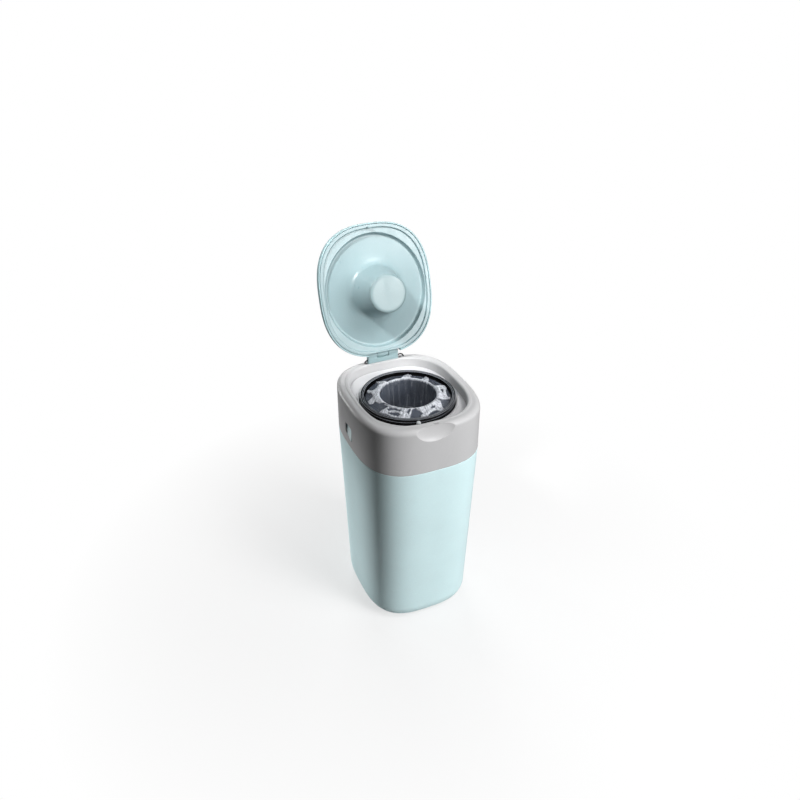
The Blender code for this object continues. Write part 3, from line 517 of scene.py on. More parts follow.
# Head
def make_head():
    top = RIM_Z
    rings = [(head_ring(0.0, SEAM_Z + GAP), 0.0006)]
    for z in np.linspace(SEAM_Z + 0.003, top - 0.0125, 9):
        rings.append((head_ring(0.0, z), 0))
    for deg in np.linspace(0, 90, 16):
        t = math.radians(deg)
        rings.append((head_ring(0.0095 * (1 - math.cos(t)), top - 0.0110 + 0.0104 * math.sin(t)), 0))
    for inset, z, cut in ((0.0136, top - 0.0006, 0.0005), (0.0147, top, 0.0006), (0.0186, top, 0.0016),
                          (0.0207, top - 0.0022, 0.0016), (0.0210, top - 0.0217, 0.0005),
                          (0.0262, top - 0.0217, 0.0005), (0.0262, top - 0.0241, 0.0005),
                          (0.0186, top - 0.0241, 0.0008), (0.0182, top - 0.0050, 0.001),
                          (0.0168, top - 0.0034, 0.001), (0.0080, top - 0.0036, 0.002),
                          (0.0028, top - 0.0080, 0.003), (0.0028, SEAM_Z + GAP, 0.0005)):
        rings.append((head_ring(inset, z), cut))
    head = skin("head_body", soften(rings, True, 4), True)

    centre = Vector((-0.0050, -HALF_D - 0.0040, top + 0.0020))
    radii = Vector((0.0450, 0.0118, 0.0340))
    backing = sphere("backing", centre, radii + Vector((0.0028, 0.0028, 0.0028)))
    inside = skin("inside", [head_ring(i, z) for i, z in (
        (0.0008, top - 0.060), (0.0008, top - 0.0100), (0.0030, top - 0.0042), (0.0080, top - 0.0012))])
    combine(backing, inside, "INTERSECT")
    combine(head, backing, "UNION")
    combine(head, sphere("scoop", centre, radii), "DIFFERENCE")
    combine(head, block("slot", (-0.0050, -0.1278, top - 0.0080), (0.0060, -0.1247, top + 0.01), 0.0),
            "DIFFERENCE")
    for side in (-1, 1):
        x0, x1 = sorted((side * 0.110, side * 0.130))
        window = [(y + math.copysign(0.0010, y), z + grow)
                  for (y, z), grow in zip(CATCH_SHAPE, (0.002, 0.002, -0.001, -0.001))]
        combine(head, skin("window", prism_x("window", x0, x1, window)), "DIFFERENCE")
        combine(head, turned("hole", [(0.0, top - 0.02), (0.0029, top - 0.02), (0.0029, top + 0.01),
                                      (0.0, top + 0.01)], False, 32, at=(side * 0.0355, 0.1215, 0.0)),
                "DIFFERENCE")
    dress(head, grey, "head", "grey_plastic", "head_shell")
    knuckle = [block("web", (-0.0212, 0.1350, SEAM_Z + 0.0006),
                     (0.0212, HEAD_AXIS_Y + 0.0010, SEAM_Z + 0.0130)),
               pipe("barrel", -0.0215, 0.0215, 0.0055, 0.0021, HEAD_AXIS_Y, HEAD_AXIS_Z)]
    dress(merge("head_knuckle", knuckle), grey, "head", "grey_plastic")


def make_deck():
    base = DECK_TOP - 0.0023
    rings = [(head_ring(0.0212, DECK_TOP), 0.0006), (circle(0.0965, DECK_TOP), 0.0006),
             (circle(0.0962, DECK_TOP + 0.0008), 0.0004), (circle(0.0925, DECK_TOP + 0.0008), 0.0010),
             (circle(0.0908, DECK_TOP - 0.0012), 0.0010), (circle(0.0908, RIM_Z - 0.0755), 0.0005),
             (circle(0.0740, RIM_Z - 0.0755), 0.0004), (circle(0.0740, RIM_Z - 0.0776), 0.0004),
             (circle(0.0928, RIM_Z - 0.0776), 0.0008), (circle(0.0928, base - 0.0012), 0.0008),
             (circle(0.0940, base), 0.0006), (head_ring(0.0212, base), 0.0004)]
    deck = skin("deck", soften(rings, True, 4), True)
    window = block("window", (0.0880, -0.0058, RIM_Z - 0.0390), (0.0960, 0.0058, RIM_Z - 0.0150), 0.0)
    window.data.transform(Matrix.Translation((0, RING_Y, 0)) @ Matrix.Rotation(PAWL_ANGLE, 4, "Z"))
    combine(deck, window, "DIFFERENCE")
    dress(deck, pale, "head", "pale_plastic", "cassette_deck")
    bosses = []
    for k in range(4):
        a = math.radians(45 + 90 * k)
        bosses.append(turned("boss", [(0.0017, RIM_Z - 0.0776), (0.0044, RIM_Z - 0.0776, 0.0004),
                                      (0.0044, RIM_Z - 0.0560, 0.0008), (0.0, RIM_Z - 0.0560)], False, 40,
                             at=(0.0967 * math.cos(a), RING_Y + 0.0967 * math.sin(a), 0.0)))
    dress(merge("deck_bosses", bosses), pale, "head", "pale_plastic")


# Ring and cassette
def make_pawl():
    """A leg behind the ring's well, a thin nose through the window, a round pale knob on top."""
    there = Matrix.Translation((0, RING_Y, 0)) @ Matrix.Rotation(PAWL_ANGLE, 4, "Z")
    parts = [block("leg", (0.0932, -0.0024, RIM_Z - 0.0530), (0.0950, 0.0024, RIM_Z - 0.0340), 0.0004),
             block("nose", (0.0906, -0.0024, RIM_Z - 0.0350), (0.0944, 0.0024, RIM_Z - 0.0160), 0.0006)]
    for o in parts:
        o.data.transform(there)
    knob = [(0.0, RIM_Z - 0.0184), (0.0042, RIM_Z - 0.0184), (0.0042, RIM_Z - 0.0118, 0.0006),
            (0.0039, RIM_Z - 0.0100, 0.0010), (0.0027, RIM_Z - 0.0088, 0.0012), (0.0, RIM_Z - 0.0084)]
    out = 0.0950
    parts.append(turned("knob", knob, False, 64,
                        at=(out * math.cos(PAWL_ANGLE), RING_Y + out * math.sin(PAWL_ANGLE), 0.0)))
    dress(merge("pawl_nose", parts), white, "head", "white_plastic", "click_pawl")


def make_ring():
    top, count = RING_TOP, 288

    def plain(r, z, cut=0.0004):
        return (circle(r, z, count=count), cut)

    def toothed(z):
        a = 2 * np.pi * np.arange(count) / count
        bite = np.where(np.arange(count) % 4 == 0, 0.0, np.where(np.arange(count) % 4 == 2, 0.0013, 0.0006))
        r = RING_R - bite
        return (np.stack([r * np.cos(a), RING_Y + r * np.sin(a), np.full(count, z)], axis=1), 0)

    rings = [plain(0.0862, RIM_Z - 0.0745), plain(0.0862, RIM_Z - 0.0360), plain(0.0884, RIM_Z - 0.0350),
             toothed(RIM_Z - 0.0345), toothed(RIM_Z - 0.0245), plain(0.0886, RIM_Z - 0.0238)]
    # Wall with fine ridges all round
    z = RIM_Z - 0.0205
    rings.append(plain(0.0897, z, 0.0003))
    while z < top - 0.0034:
        rings += [plain(RING_R, z + 0.0004, 0.0003), plain(RING_R, z + 0.0013, 0.0003),
                  plain(RING_R - 0.0005, z + 0.0016, 0.0002), plain(RING_R - 0.0005, z + 0.0019, 0.0002)]
        z += 0.0023
    rings += [plain(RING_R, top - 0.0022, 0.0003), plain(RING_R, top - 0.0004, 0.0011),
              plain(0.0886, top, 0.0006), plain(0.0876, top, 0.0002), plain(0.0873, top - 0.0006, 0.0002),
              plain(0.0868, top - 0.0006, 0.0002), plain(0.0865, top, 0.0002), plain(0.0858, top, 0.0002),
              plain(0.0855, top - 0.0006, 0.0002), plain(0.0850, top - 0.0006, 0.0002),
              plain(0.0847, top, 0.0003), plain(0.0841, top, 0.0008), plain(0.0836, top - 0.0030, 0.0010),
              plain(0.0834, RIM_Z - 0.0725), plain(0.0745, RIM_Z - 0.0725), plain(0.0745, RIM_Z - 0.0745)]
    collar = skin("turning_collar", soften(rings, True, 3), True)
    dress(collar, black, "turning_ring", "black_gloss", "carrier_ring")
    # Raised beads, as (radius, height, half width), coloured pale grey as a painted highlight, so that they
    # show as fine light lines on the black ring
    beads = []
    for r, z, size in ((0.0898, top - 0.0001, 0.00035), (0.0866, top + 0.0001, 0.00040),
                       (0.0841, top - 0.0002, 0.00040), (RING_R + 0.0001, top - 0.0058, 0.00030)):
        round_ = [(r + size * math.cos(t), z + size * math.sin(t)) for t in np.linspace(0, 2 * np.pi, 9)[:-1]]
        beads.append(turned("bead", round_, count=count))
    dress(merge("collar_beads", beads), bead_painted_highlight, "turning_ring", "black_gloss")


def make_cassette():
    low, c, wall = RIM_Z - 0.0722, CAP_TOP, HOLE_R + 0.0014
    tray = turned("cassette_trough", [
        (0.0826, RIM_Z - 0.0172), (0.0828, RIM_Z - 0.0190), (0.0826, low, 0.001), (wall, low, 0.001),
        (wall, c + 0.0030), (wall + 0.0003, c + 0.0036), (wall + 0.0017, c + 0.0036),
        (wall + 0.0020, c + 0.0030), (wall + 0.0020, low + 0.0020, 0.001), (0.0808, low + 0.0020, 0.001),
        (0.0808, RIM_Z - 0.0172)], cut=0.0004, steps=3)
    dress(tray, slate, "turning_ring", "slate_plastic", "cassette_tray")
    # A cone-shaped cover with two fine steps round its foot
    cap = turned("cassette_cover", [
        (0.0790, c - 0.0002, 0.0005), (0.0794, c - 0.0014), (0.0790, c - 0.0028), (0.0745, c - 0.0014),
        (0.0612, c + 0.0040, 0.0006), (0.0592, c + 0.0046), (0.0590, c - 0.0075), (0.0577, c - 0.0075),
        (0.0577, c + 0.0040), (HOLE_R + 0.0011, c + 0.0040), (HOLE_R + 0.0010, c - 0.0028, 0.0003),
        (HOLE_R + 0.0001, c - 0.0028, 0.0003), (HOLE_R, c + 0.0056, 0.0008),
        (HOLE_R + 0.0006, c + 0.0074, 0.0008), (0.0560, c + CAP_RISE, 0.0008),
        (0.0718, c + 0.0019, 0.0004), (0.0722, c + 0.0013, 0.0003),
        (0.0736, c + 0.0009, 0.0003), (0.0740, c + 0.0012, 0.0003), (0.0745, c + 0.0010, 0.0004),
        (0.0764, c + 0.0005, 0.0003), (0.0767, c, 0.0003), (0.0780, c)],
        cut=0.0003, steps=3)
    dress(cap, slate, "turning_ring", "slate_plastic", "cassette_cap")


# Film
# Where the film is bunched up white on the cover: corners as (angle in degrees, radius in cm)
BUNCHES = [
    [(125, 5.4), (122, 6.3), (117.5, 8.1), (115, 7.6), (114, 6.6), (112, 5.4)],
    [(120, 5.2), (128, 6.5), (139, 6.3), (146, 6.7), (143.5, 7.9), (148.5, 7.9), (153, 7.0), (160, 6.7),
     (165, 6.7), (169, 7.2), (173, 7.9), (179, 7.8), (182, 7.2), (180, 6.8), (189, 6.4), (192.5, 5.9),
     (195, 5.2)],
    [(193, 5.2), (200, 6.0), (210, 6.1), (205, 7.2), (203.5, 7.9), (213, 7.8), (219, 7.7), (229, 7.9),
     (237, 8.0), (248, 7.95), (249.5, 7.0), (252, 6.2), (257, 5.6), (252, 5.2)],
    [(257, 5.2), (262, 6.1), (270, 7.1), (264, 7.4), (263.5, 7.8), (272, 7.98), (276.5, 7.6), (283, 7.2),
     (290, 7.4), (296, 7.98), (302, 7.95), (304, 7.5), (312, 6.6), (313, 6.0), (316, 5.2)],
    [(314, 5.2), (318, 6.3), (322, 7.0), (328, 7.98), (335, 7.3), (348, 7.3), (356, 7.9), (364, 7.9),
     (365, 6.9), (361, 5.9), (372, 5.2)],
    [(327, 7.75), (330, 7.98), (334, 7.98), (331, 7.7)],
    [(20, 5.2), (24, 5.9), (33, 7.4), (38, 7.9), (41, 7.5), (36, 6.3), (40, 5.2)],
    [(58, 5.2), (62, 5.8), (60, 7.2), (66, 7.9), (71, 7.3), (76, 5.9), (84, 5.2)],
]
# Where the cover shows dark between the folds of a bunch
BARE = [
    [(209.5, 6.6), (214, 6.1), (225, 5.95), (235, 6.2), (232, 6.5), (221, 6.4), (214, 6.85)],
    [(213, 7.45), (220, 6.9), (231, 6.8), (236, 7.2), (232, 7.5), (223, 7.45)],
    [(243, 6.5), (247, 5.8), (250, 5.9), (247, 6.9)],
    [(196, 5.75), (200, 5.6), (208, 5.75), (203, 5.9)],
    [(285, 6.6), (291, 6.2), (297, 6.5), (291, 6.9)],
    [(340, 6.6), (346, 6.2), (353, 6.5), (348, 6.9)],
]


# One degree's arc on the cover, in cm, at a radius of 6.5 cm
CM_PER_DEGREE = 0.113
FILM_COUNT, FILM_EDGE, FILM_LIP = 800, 0.0799, 0.0560


def inside_by(a, r, corners):
    """How far inside the outline each point lies, in cm; less than nought outside."""
    mid = sum(c[0] for c in corners) / len(corners)
    u = ((np.degrees(a) - mid + 180.0) % 360.0 - 180.0) * CM_PER_DEGREE
    v = r * 100.0
    p = [((c[0] - mid) * CM_PER_DEGREE, c[1]) for c in corners]
    best = np.full(u.shape, 1e9)
    inner = np.zeros(u.shape, bool)
    for (x0, y0), (x1, y1) in zip(p, p[1:] + p[:1]):
        dx, dy = x1 - x0, y1 - y0
        t = np.clip(((u - x0) * dx + (v - y0) * dy) / (dx * dx + dy * dy), 0.0, 1.0)
        best = np.minimum(best, (u - x0 - t * dx) ** 2 + (v - y0 - t * dy) ** 2)
        if abs(dy) > 1e-9:
            inner ^= ((y0 > v) != (y1 > v)) & (u < x0 + (v - y0) / dy * dx)
    return np.where(inner, 1.0, -1.0) * np.sqrt(best)


def crumple(x, y, span, seed, low, high):
    """Flat facets that meet in sharp creases: height, and how near the closest crease is."""
    rng = np.random.default_rng(seed)
    n = int((high - low) ** 2 / span ** 2)
    sx, sy = rng.uniform(low, high, n), rng.uniform(low, high, n)
    tilt, way = rng.uniform(0.25, 0.75, n), rng.uniform(0, 2 * np.pi, n)
    base = rng.uniform(-0.25, 0.25, n) * span
    lift, crest = np.zeros(len(x)), np.zeros(len(x))
    for k in range(0, len(x), 4000):
        dx, dy = x[k:k + 4000, None] - sx, y[k:k + 4000, None] - sy
        far = dx * dx + dy * dy
        near = np.argpartition(far, 7, axis=1)[:, :7]
        rows = np.arange(len(near))[:, None]
        along = dx[rows, near] * np.cos(way[near]) + dy[rows, near] * np.sin(way[near])
        h = base[near] + tilt[near] * along - 0.55 * np.sqrt(far[rows, near])
        h.sort(axis=1)
        lift[k:k + 4000] = h[:, -1]
        crest[k:k + 4000] = 1.0 - np.clip((h[:, -1] - h[:, -2]) / (0.16 * span), 0.0, 1.0)
    return lift, crest


def noise_over(x, y, scale, height):
    """Smooth noise at points of a plane, one value for each."""
    return np.array([noise.noise(Vector((u * scale, v * scale, height))) for u, v in zip(x, y)])


def bunched():
    """The film on the cover, from its outer edge to the hole: rows of points, rows of foldedness."""
    theta = 2 * np.pi * np.arange(FILM_COUNT) / FILM_COUNT
    radii = np.concatenate([[FILM_EDGE], np.linspace(FILM_EDGE - 0.0002, FILM_LIP, 50)])
    cone = np.interp(radii, (FILM_LIP, 0.0745, 0.0780, 0.0800), (CAP_RISE, 0.0010, 0.0, 0.0))
    cone = cone + CAP_TOP + 0.0005
    a, r = np.meshgrid(theta, radii)
    x, y = (r * np.cos(a)).ravel(), (r * np.sin(a)).ravel()
    big, crest1 = (q.reshape(a.shape) for q in crumple(x, y, 0.0068, 3, -0.081, 0.081))
    mid, crest2 = (q.reshape(a.shape) for q in crumple(x, y, 0.0030, 4, -0.081, 0.081))
    wob = noise_over(x, y, 210.0, 2.0).reshape(a.shape)
    slow = noise_over(x, y, 70.0, 5.0).reshape(a.shape)
    much = np.full(a.shape, -9.0)
    for corners in BUNCHES:
        much = np.maximum(much, inside_by(a, r, corners))
    for corners in BARE:
        much = np.minimum(much, -inside_by(a, r, corners))
    much = much + 0.05 + 0.08 * wob
    mask = np.clip((much + 0.03) / 0.13, 0.0, 1.0)
    mask = mask * mask * (3 - 2 * mask)
    dome = np.clip(much / 0.45, 0.0, 1.0) ** 0.6
    edge = np.clip((FILM_EDGE - r) / 0.0012, 0.0, 1.0)
    brink = np.clip((0.0592 - r) / 0.0022, 0.0, 1.0)
    # Pleats run from the hole outwards across the bunches
    bend = 5.0 * slow + 1.6 * np.sin(7 * a) + 120.0 * (r - FILM_LIP) * np.sin(5 * a + 1.0)
    pleat = 0.5 + 0.5 * np.sin(74 * a + bend)
    high = mask * (0.0007 + 0.0019 * dome * (0.6 + 0.4 * slow))
    high += mask * (0.30 * (big + 0.0034) + 0.22 * (mid + 0.0015))
    high += 0.0005 * mask * pleat + (1 - mask) * 0.00022 * crest1
    high = np.clip(high, 0.0, 0.0042) * edge * (1.0 - 0.55 * brink)
    rr = r + 0.0004 * wob * edge * (1 - brink)
    level = cone[:, None] + high
    level[0] -= 0.0020
    near = np.clip((0.0578 - r) / 0.0016, 0.0, 1.0)
    fold = mask * (0.50 + 0.26 * crest1 + 0.20 * crest2 + 0.16 * (pleat - 0.5) + 0.12 * slow)
    fold = np.maximum(fold, near * (0.50 + 0.35 * crest2 + 0.25 * slow))
    fold = np.maximum(fold, 0.05 + 0.16 * crest1 * (0.5 + slow))
    rows = [np.stack([rr[k] * np.cos(theta), RING_Y + rr[k] * np.sin(theta), level[k]], axis=1)
            for k in range(len(radii))]
    return rows, list(fold)


def drawn_down():
    """The film down the hole, through the grip and into the tail, as bunched gives it."""
    theta = 2 * np.pi * np.arange(FILM_COUNT) / FILM_COUNT
    top = CAP_TOP + CAP_RISE + 0.0006
    grip, tail = RIM_Z - 0.0690, RIM_Z - 0.1095
    # Stations as (radius, height, depth of the pleats)
    path = [(0.0552, top + 0.0001, 0.0), (0.0545, top - 0.0003, 0.0001), (0.0540, top - 0.0011, 0.0002),
            (0.0536, top - 0.0026, 0.0003), (0.0533, top - 0.0055, 0.0005),
            (0.0531, CAP_TOP - 0.0030, 0.0007)]
    path += [(0.0530 - 0.0010 * t, CAP_TOP - 0.0030 - 0.0480 * t, 0.0009 + 0.0008 * t)
             for t in np.linspace(0.05, 1, 24)]
    path += [(r, grip - down, pleats) for r, down, pleats in (
        (0.0480, 0.0, 0.0026), (0.0420, 0.0032, 0.0034), (0.0350, 0.0058, 0.0040), (0.0285, 0.0082, 0.0040),
        (0.0262, 0.0113, 0.0040), (0.0215, 0.0170, 0.0042), (0.0150, 0.0245, 0.0042),
        (0.0105, 0.0320, 0.0034), (0.0085, 0.0405, 0.0030))]
    path += [(0.0075, tail - 0.0400 * t, 0.0028) for t in np.linspace(0.1, 1, 10)]
    # The knot, and the loose end below it
    path += [(r, tail - down, pleats) for r, down, pleats in (
        (0.0100, 0.0435, 0.0030), (0.0128, 0.0480, 0.0030), (0.0132, 0.0525, 0.0030),
        (0.0124, 0.0567, 0.0030), (0.0090, 0.0605, 0.0028), (0.0078, 0.0640, 0.0028),
        (0.0098, 0.0705, 0.0044), (0.0130, 0.0790, 0.0062))]
    rows, folds = [], []
    for radius, z, pleats in path:
        depth = top - z
        twist = 5.0 * max(0.0, depth - 0.066) / 0.1
        w1 = 0.5 + 0.5 * np.cos(26 * theta + 14 * twist + 2.0 * np.sin(3 * theta) + 18.0 * depth)
        w2 = 1.0 - 2.2 * np.abs(noise_over(np.cos(theta), np.sin(theta), 7.0, depth * 9.0))
        w3 = noise_over(np.cos(theta), np.sin(theta), 16.0, depth * 30.0)
        inward = pleats * (0.45 * w1 + 0.40 * np.maximum(0.0, w2) + 0.15 * np.abs(w3))
        r = np.maximum(0.0010, radius - inward)
        a = theta + twist * 0.6
        rows.append(np.stack([r * np.cos(a), RING_Y + r * np.sin(a), z + 0.0003 * w3], axis=1))
        fold = 0.05 + 0.20 * np.maximum(0.0, w2) ** 10 + 0.09 * w1 ** 8
        folds.append(fold + 0.55 * max(0.0, 1.0 - depth / 0.0050) + min(0.7, 9.0 * max(0.0, depth - 0.060)))
    return rows, folds


def make_film():
    (rows, folds), (more_rows, more_folds) = bunched(), drawn_down()
    rows, folds, count = rows + more_rows, folds + more_folds, FILM_COUNT
    faces = []
    for k in range(len(rows) - 1):
        lo, hi = k * count, (k + 1) * count
        faces += [(lo + i, lo + (i + 1) % count, hi + (i + 1) % count, hi + i) for i in range(count)]
    sheet = made("film_sheet", np.concatenate(rows), faces, 180.0, fix=False)
    mark = sheet.data.attributes.new("fold", "FLOAT", "POINT")
    mark.data.foreach_set("value", np.clip(np.concatenate(folds), 0.0, 1.0).astype(np.float32))
    dress(sheet, film, "turning_ring", "film", "film_collar", "film_sleeve")
    return sheet


# Lid
def lid_notch():
    """The cut at the back of the lid, round the hinge block."""
    return block("notch", (-0.0345, LID_AXIS_Y - 0.0066, LIP_Z - 0.01), (0.0345, 0.150, LIP_Z + 0.0240), 0.0)


def make_lid():
    inner = [(0.1080, 0.0272), (0.0850, 0.0268), (0.0560, 0.0254), (0.0290, 0.0228), (0.0140, 0.0200),
             (0.0078, 0.0172), (0.0046, 0.0140), (0.0029, 0.0102), (0.0027, 0.0040)]
    outer = [(0.0001, 0.0030), (0.0001, 0.0070), (0.0004, 0.0110), (0.0016, 0.0152), (0.0050, 0.0192),
             (0.0120, 0.0224), (0.0280, 0.0252), (0.0550, 0.0278), (0.0850, 0.0292), (0.1080, 0.0296)]
    rings = [(lid_ring(i, h), 0) for i, h in spline(inner, 4)]
    rings += [(lid_ring(0.0025, 0.0), 0.0005), (lid_ring(0.0002, 0.0), 0.0008)]
    rings += [(lid_ring(i, h), 0) for i, h in spline(outer, 6)]
    lid = skin("lid_cover", soften(rings, False, 4))
    combine(lid, lid_notch(), "DIFFERENCE")
    dress(swing(lid), mint_lid_painted_shade, "lid", "mint_plastic", "lid_outer")
    knuckle = [block("web", (-0.0108, LID_AXIS_Y - 0.0125, LID_AXIS_Z - 0.0030),
                     (0.0108, LID_AXIS_Y + 0.0006, LID_AXIS_Z + 0.0046)),
               pipe("barrel", -0.0112, 0.0112, 0.0050, 0.0017, LID_AXIS_Y, LID_AXIS_Z)]
    dress(swing(merge("lid_knuckle", knuckle)), mint_lid_painted_shade, "lid", "mint_plastic")


def make_liner():
    def oval(wide, deep, rise):
        return outline(wide, deep, 2.0, LIP_Z + rise, RING_Y)

    def disc(radius, rise):
        return circle(radius, LIP_Z + rise)

    rings = [
        (disc(0.0330, -0.0562), 0), (disc(0.0368, -0.0552), 0.0010), (disc(0.0450, -0.0195), 0.006),
        (disc(0.0482, -0.0085), 0.004), (disc(0.0500, -0.0025), 0.003), (disc(0.0550, 0.0018), 0.003),
        (disc(0.0620, 0.0042), 0.004), (disc(0.0760, 0.0072), 0.006),
        (oval(0.1000, 0.1076, 0.0120), 0.0035), (oval(0.1026, 0.1102, 0.0060), 0.0020),
        (oval(0.1034, 0.1110, 0.0036), 0.0010), (lid_ring(0.0102, 0.0036), 0.0010),
        (lid_ring(0.0091, 0.0005), 0.0010), (lid_ring(0.0036, 0.0005), 0.0005),
        (lid_ring(0.0031, 0.0012), 0.0004), (lid_ring(0.0031, 0.0034), 0.0004),
        (lid_ring(0.0080, 0.0056), 0.001), (oval(0.1056, 0.1134, 0.0062), 0.001),
        (oval(0.1040, 0.1118, 0.0112), 0.002), (oval(0.0990, 0.1068, 0.0136), 0.003),
        (disc(0.0620, 0.0066), 0.003), (disc(0.0536, 0.0042), 0.003), (disc(0.0478, -0.0020), 0.003),
        (disc(0.0458, -0.0090), 0.003),
        (disc(0.0428, -0.0195), 0.004), (disc(0.0346, -0.0536), 0.001), (disc(0.0320, -0.0538), 0)]
    liner = skin("lid_liner", soften(rings, False, 8))
    combine(liner, lid_notch(), "DIFFERENCE")
    dress(swing(liner), mint_clear_painted_shade, "lid", "mint_clear_plastic", "lid_inner", "plunger_wall")
    nib = block("catch_nib", (-0.0040, -0.1271, LIP_Z - 0.0050), (0.0050, -0.1253, LIP_Z + 0.0030), 0.0005)
    dress(swing(nib), mint_clear_painted_shade, "lid", "mint_clear_plastic")
    z = LIP_Z
    face = [(0.0, z - 0.0566), (0.0362, z - 0.0566, 0.0005), (0.0367, z - 0.0577, 0.0014),
            (0.0357, z - 0.0599, 0.0020), (0.0325, z - PLUNGER, 0.0030), (0.0, z - PLUNGER)]
    tip = turned("plunger_end", face, False, steps=7)
    dress(swing(tip), mint_tip_painted_shade, "lid", "mint_clear_plastic", "plunger_tip")


# Hinge block and catches
def make_clip(x, word):
    """A bent wire that stands on the rim, round a small bright steel stud, which is a painted highlight on
    the wire.
    """
    points = [(x + across, y, RIM_Z + rise) for across, y, rise in (
        (-0.0062, 0.1232, 0.0006), (-0.0056, 0.1231, 0.0032), (-0.0034, 0.1230, 0.0050),
        (0.0, 0.1229, 0.0060), (0.0034, 0.1228, 0.0050), (0.0058, 0.1227, 0.0030),
        (0.0066, 0.1222, 0.0010), (0.0084, 0.1214, 0.0012))]
    curve = bpy.data.curves.new("wire", "CURVE")
    curve.dimensions, curve.bevel_depth, curve.bevel_resolution = "3D", 0.0013, 5
    curve.use_fill_caps = True
    track = curve.splines.new("BEZIER")
    track.bezier_points.add(len(points) - 1)
    for q, p in zip(track.bezier_points, points):
        q.co, q.handle_left_type, q.handle_right_type = p, "AUTO", "AUTO"
    wire = link(bpy.data.objects.new("wire", curve))
    bpy.context.view_layer.update()
    graph = bpy.context.evaluated_depsgraph_get()
    solid = bpy.data.meshes.new_from_object(wire.evaluated_get(graph))
    bpy.data.objects.remove(wire, do_unlink=True)
    solid.shade_smooth()
    clip = link(bpy.data.objects.new("clip_wire_" + word, solid))
    dress(clip, dark_steel, "head", "steel", "block_clip_" + word)
    # Painted highlight: the bright steel stud inside the wire's loop stands for its glint
    stud = turned("clip_highlight_stud_" + word, [(0.0, RIM_Z + 0.0002), (0.0017, RIM_Z + 0.0002),
                                        (0.0017, RIM_Z + 0.0012, 0.0005), (0.0, RIM_Z + 0.0018)],
                  False, 40, at=(x + 0.0010, 0.1224, 0.0))
    dress(stud, steel, "head", "steel")


def make_hinge():
    parts = [block("foot", (-0.0320, LID_AXIS_Y - 0.0048, RIM_Z + GAP),
                   (0.0320, LID_AXIS_Y + 0.0048, LID_AXIS_Z - 0.0060), 0.0008)]
    for side in (-1, 1):
        x0, x1 = sorted((side * 0.0120, side * 0.0320))
        parts.append(block("riser", (x0 + 0.0003, LID_AXIS_Y - 0.0045, RIM_Z + 0.002),
                           (x1 - 0.0003, LID_AXIS_Y + 0.0045, LID_AXIS_Z + 0.0006)))
        parts.append(pipe("barrel", x0, x1, 0.0054, 0.0017, LID_AXIS_Y, LID_AXIS_Z))
    # Painted shade: the hinge block takes the lid's darkened mint
    dress(merge("hinge_bridge", parts), mint_lid_painted_shade, "head", "mint_plastic", "hinge_block")
    make_clip(-0.0310, "left")
    make_clip(0.0385, "right")


def make_catch(side, word):
    """A slanted push pad in the front part of its window; behind it an arm with a hook."""
    corners = [(CATCH_Y + 0.0062, CATCH_LOW + 0.0275), (CATCH_Y - 0.0155, CATCH_LOW + 0.0275),
               (CATCH_Y - 0.0155, CATCH_LOW + 0.0025), (CATCH_Y + 0.0062, CATCH_LOW + 0.0100)]
    inner, outer = prism_x("pad", side * 0.1166, side * 0.1188, corners, 0.0025, 6, 0.10)
    middle = outer.mean(axis=0)
    rings = [(inner, 0), (outer, 0.0008), (middle + (outer - middle) * 0.86, 0.0008),
             (middle + (outer - middle) * 0.80 - np.array([side * 0.0004, 0, 0]), 0)]
    pad = skin("catch_pad_" + word, soften(rings, False, 4))
    dress(pad, mint_pad, word + "_catch", "mint_plastic", "catch_button_" + word)
    parts = []
    for low_x, high_x, low_z, high_z in ((0.1117, 0.1163, CATCH_LOW + 0.0040, CATCH_LOW + 0.0180),
                                         (0.1117, 0.1137, SEAM_Z + 0.0020, CATCH_LOW + 0.0100),
                                         (0.1117, 0.1160, SEAM_Z + 0.0035, SEAM_Z + 0.0075)):
        x0, x1 = sorted((side * low_x, side * high_x))
        parts.append(block("latch", (x0, CATCH_Y - 0.0070, low_z), (x1, CATCH_Y + 0.0070, high_z), 0.0004))
    dress(merge("catch_hook_" + word, parts), white, word + "_catch", "white_plastic", "catch_latch_" + word)


make_tub()
make_head()
make_deck()
make_pawl()
make_ring()
make_cassette()
sheet = make_film()
make_lid()
make_liner()
make_hinge()
make_catch(-1, "left")
make_catch(1, "right")

# The CAD pieces that stay take the new materials
KEPT = {"film_grip": soft_white, "film_cutter": soft_white, "film_pack": white, "cutter_blade": steel,
        "head_hinge_pin": steel, "lid_hinge_pin": steel,
        "grip_screw_1": steel, "grip_screw_2": steel, "grip_screw_3": steel, "grip_screw_4": steel}
for name, mat in KEPT.items():
    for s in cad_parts[name].material_slots:
        s.material = mat


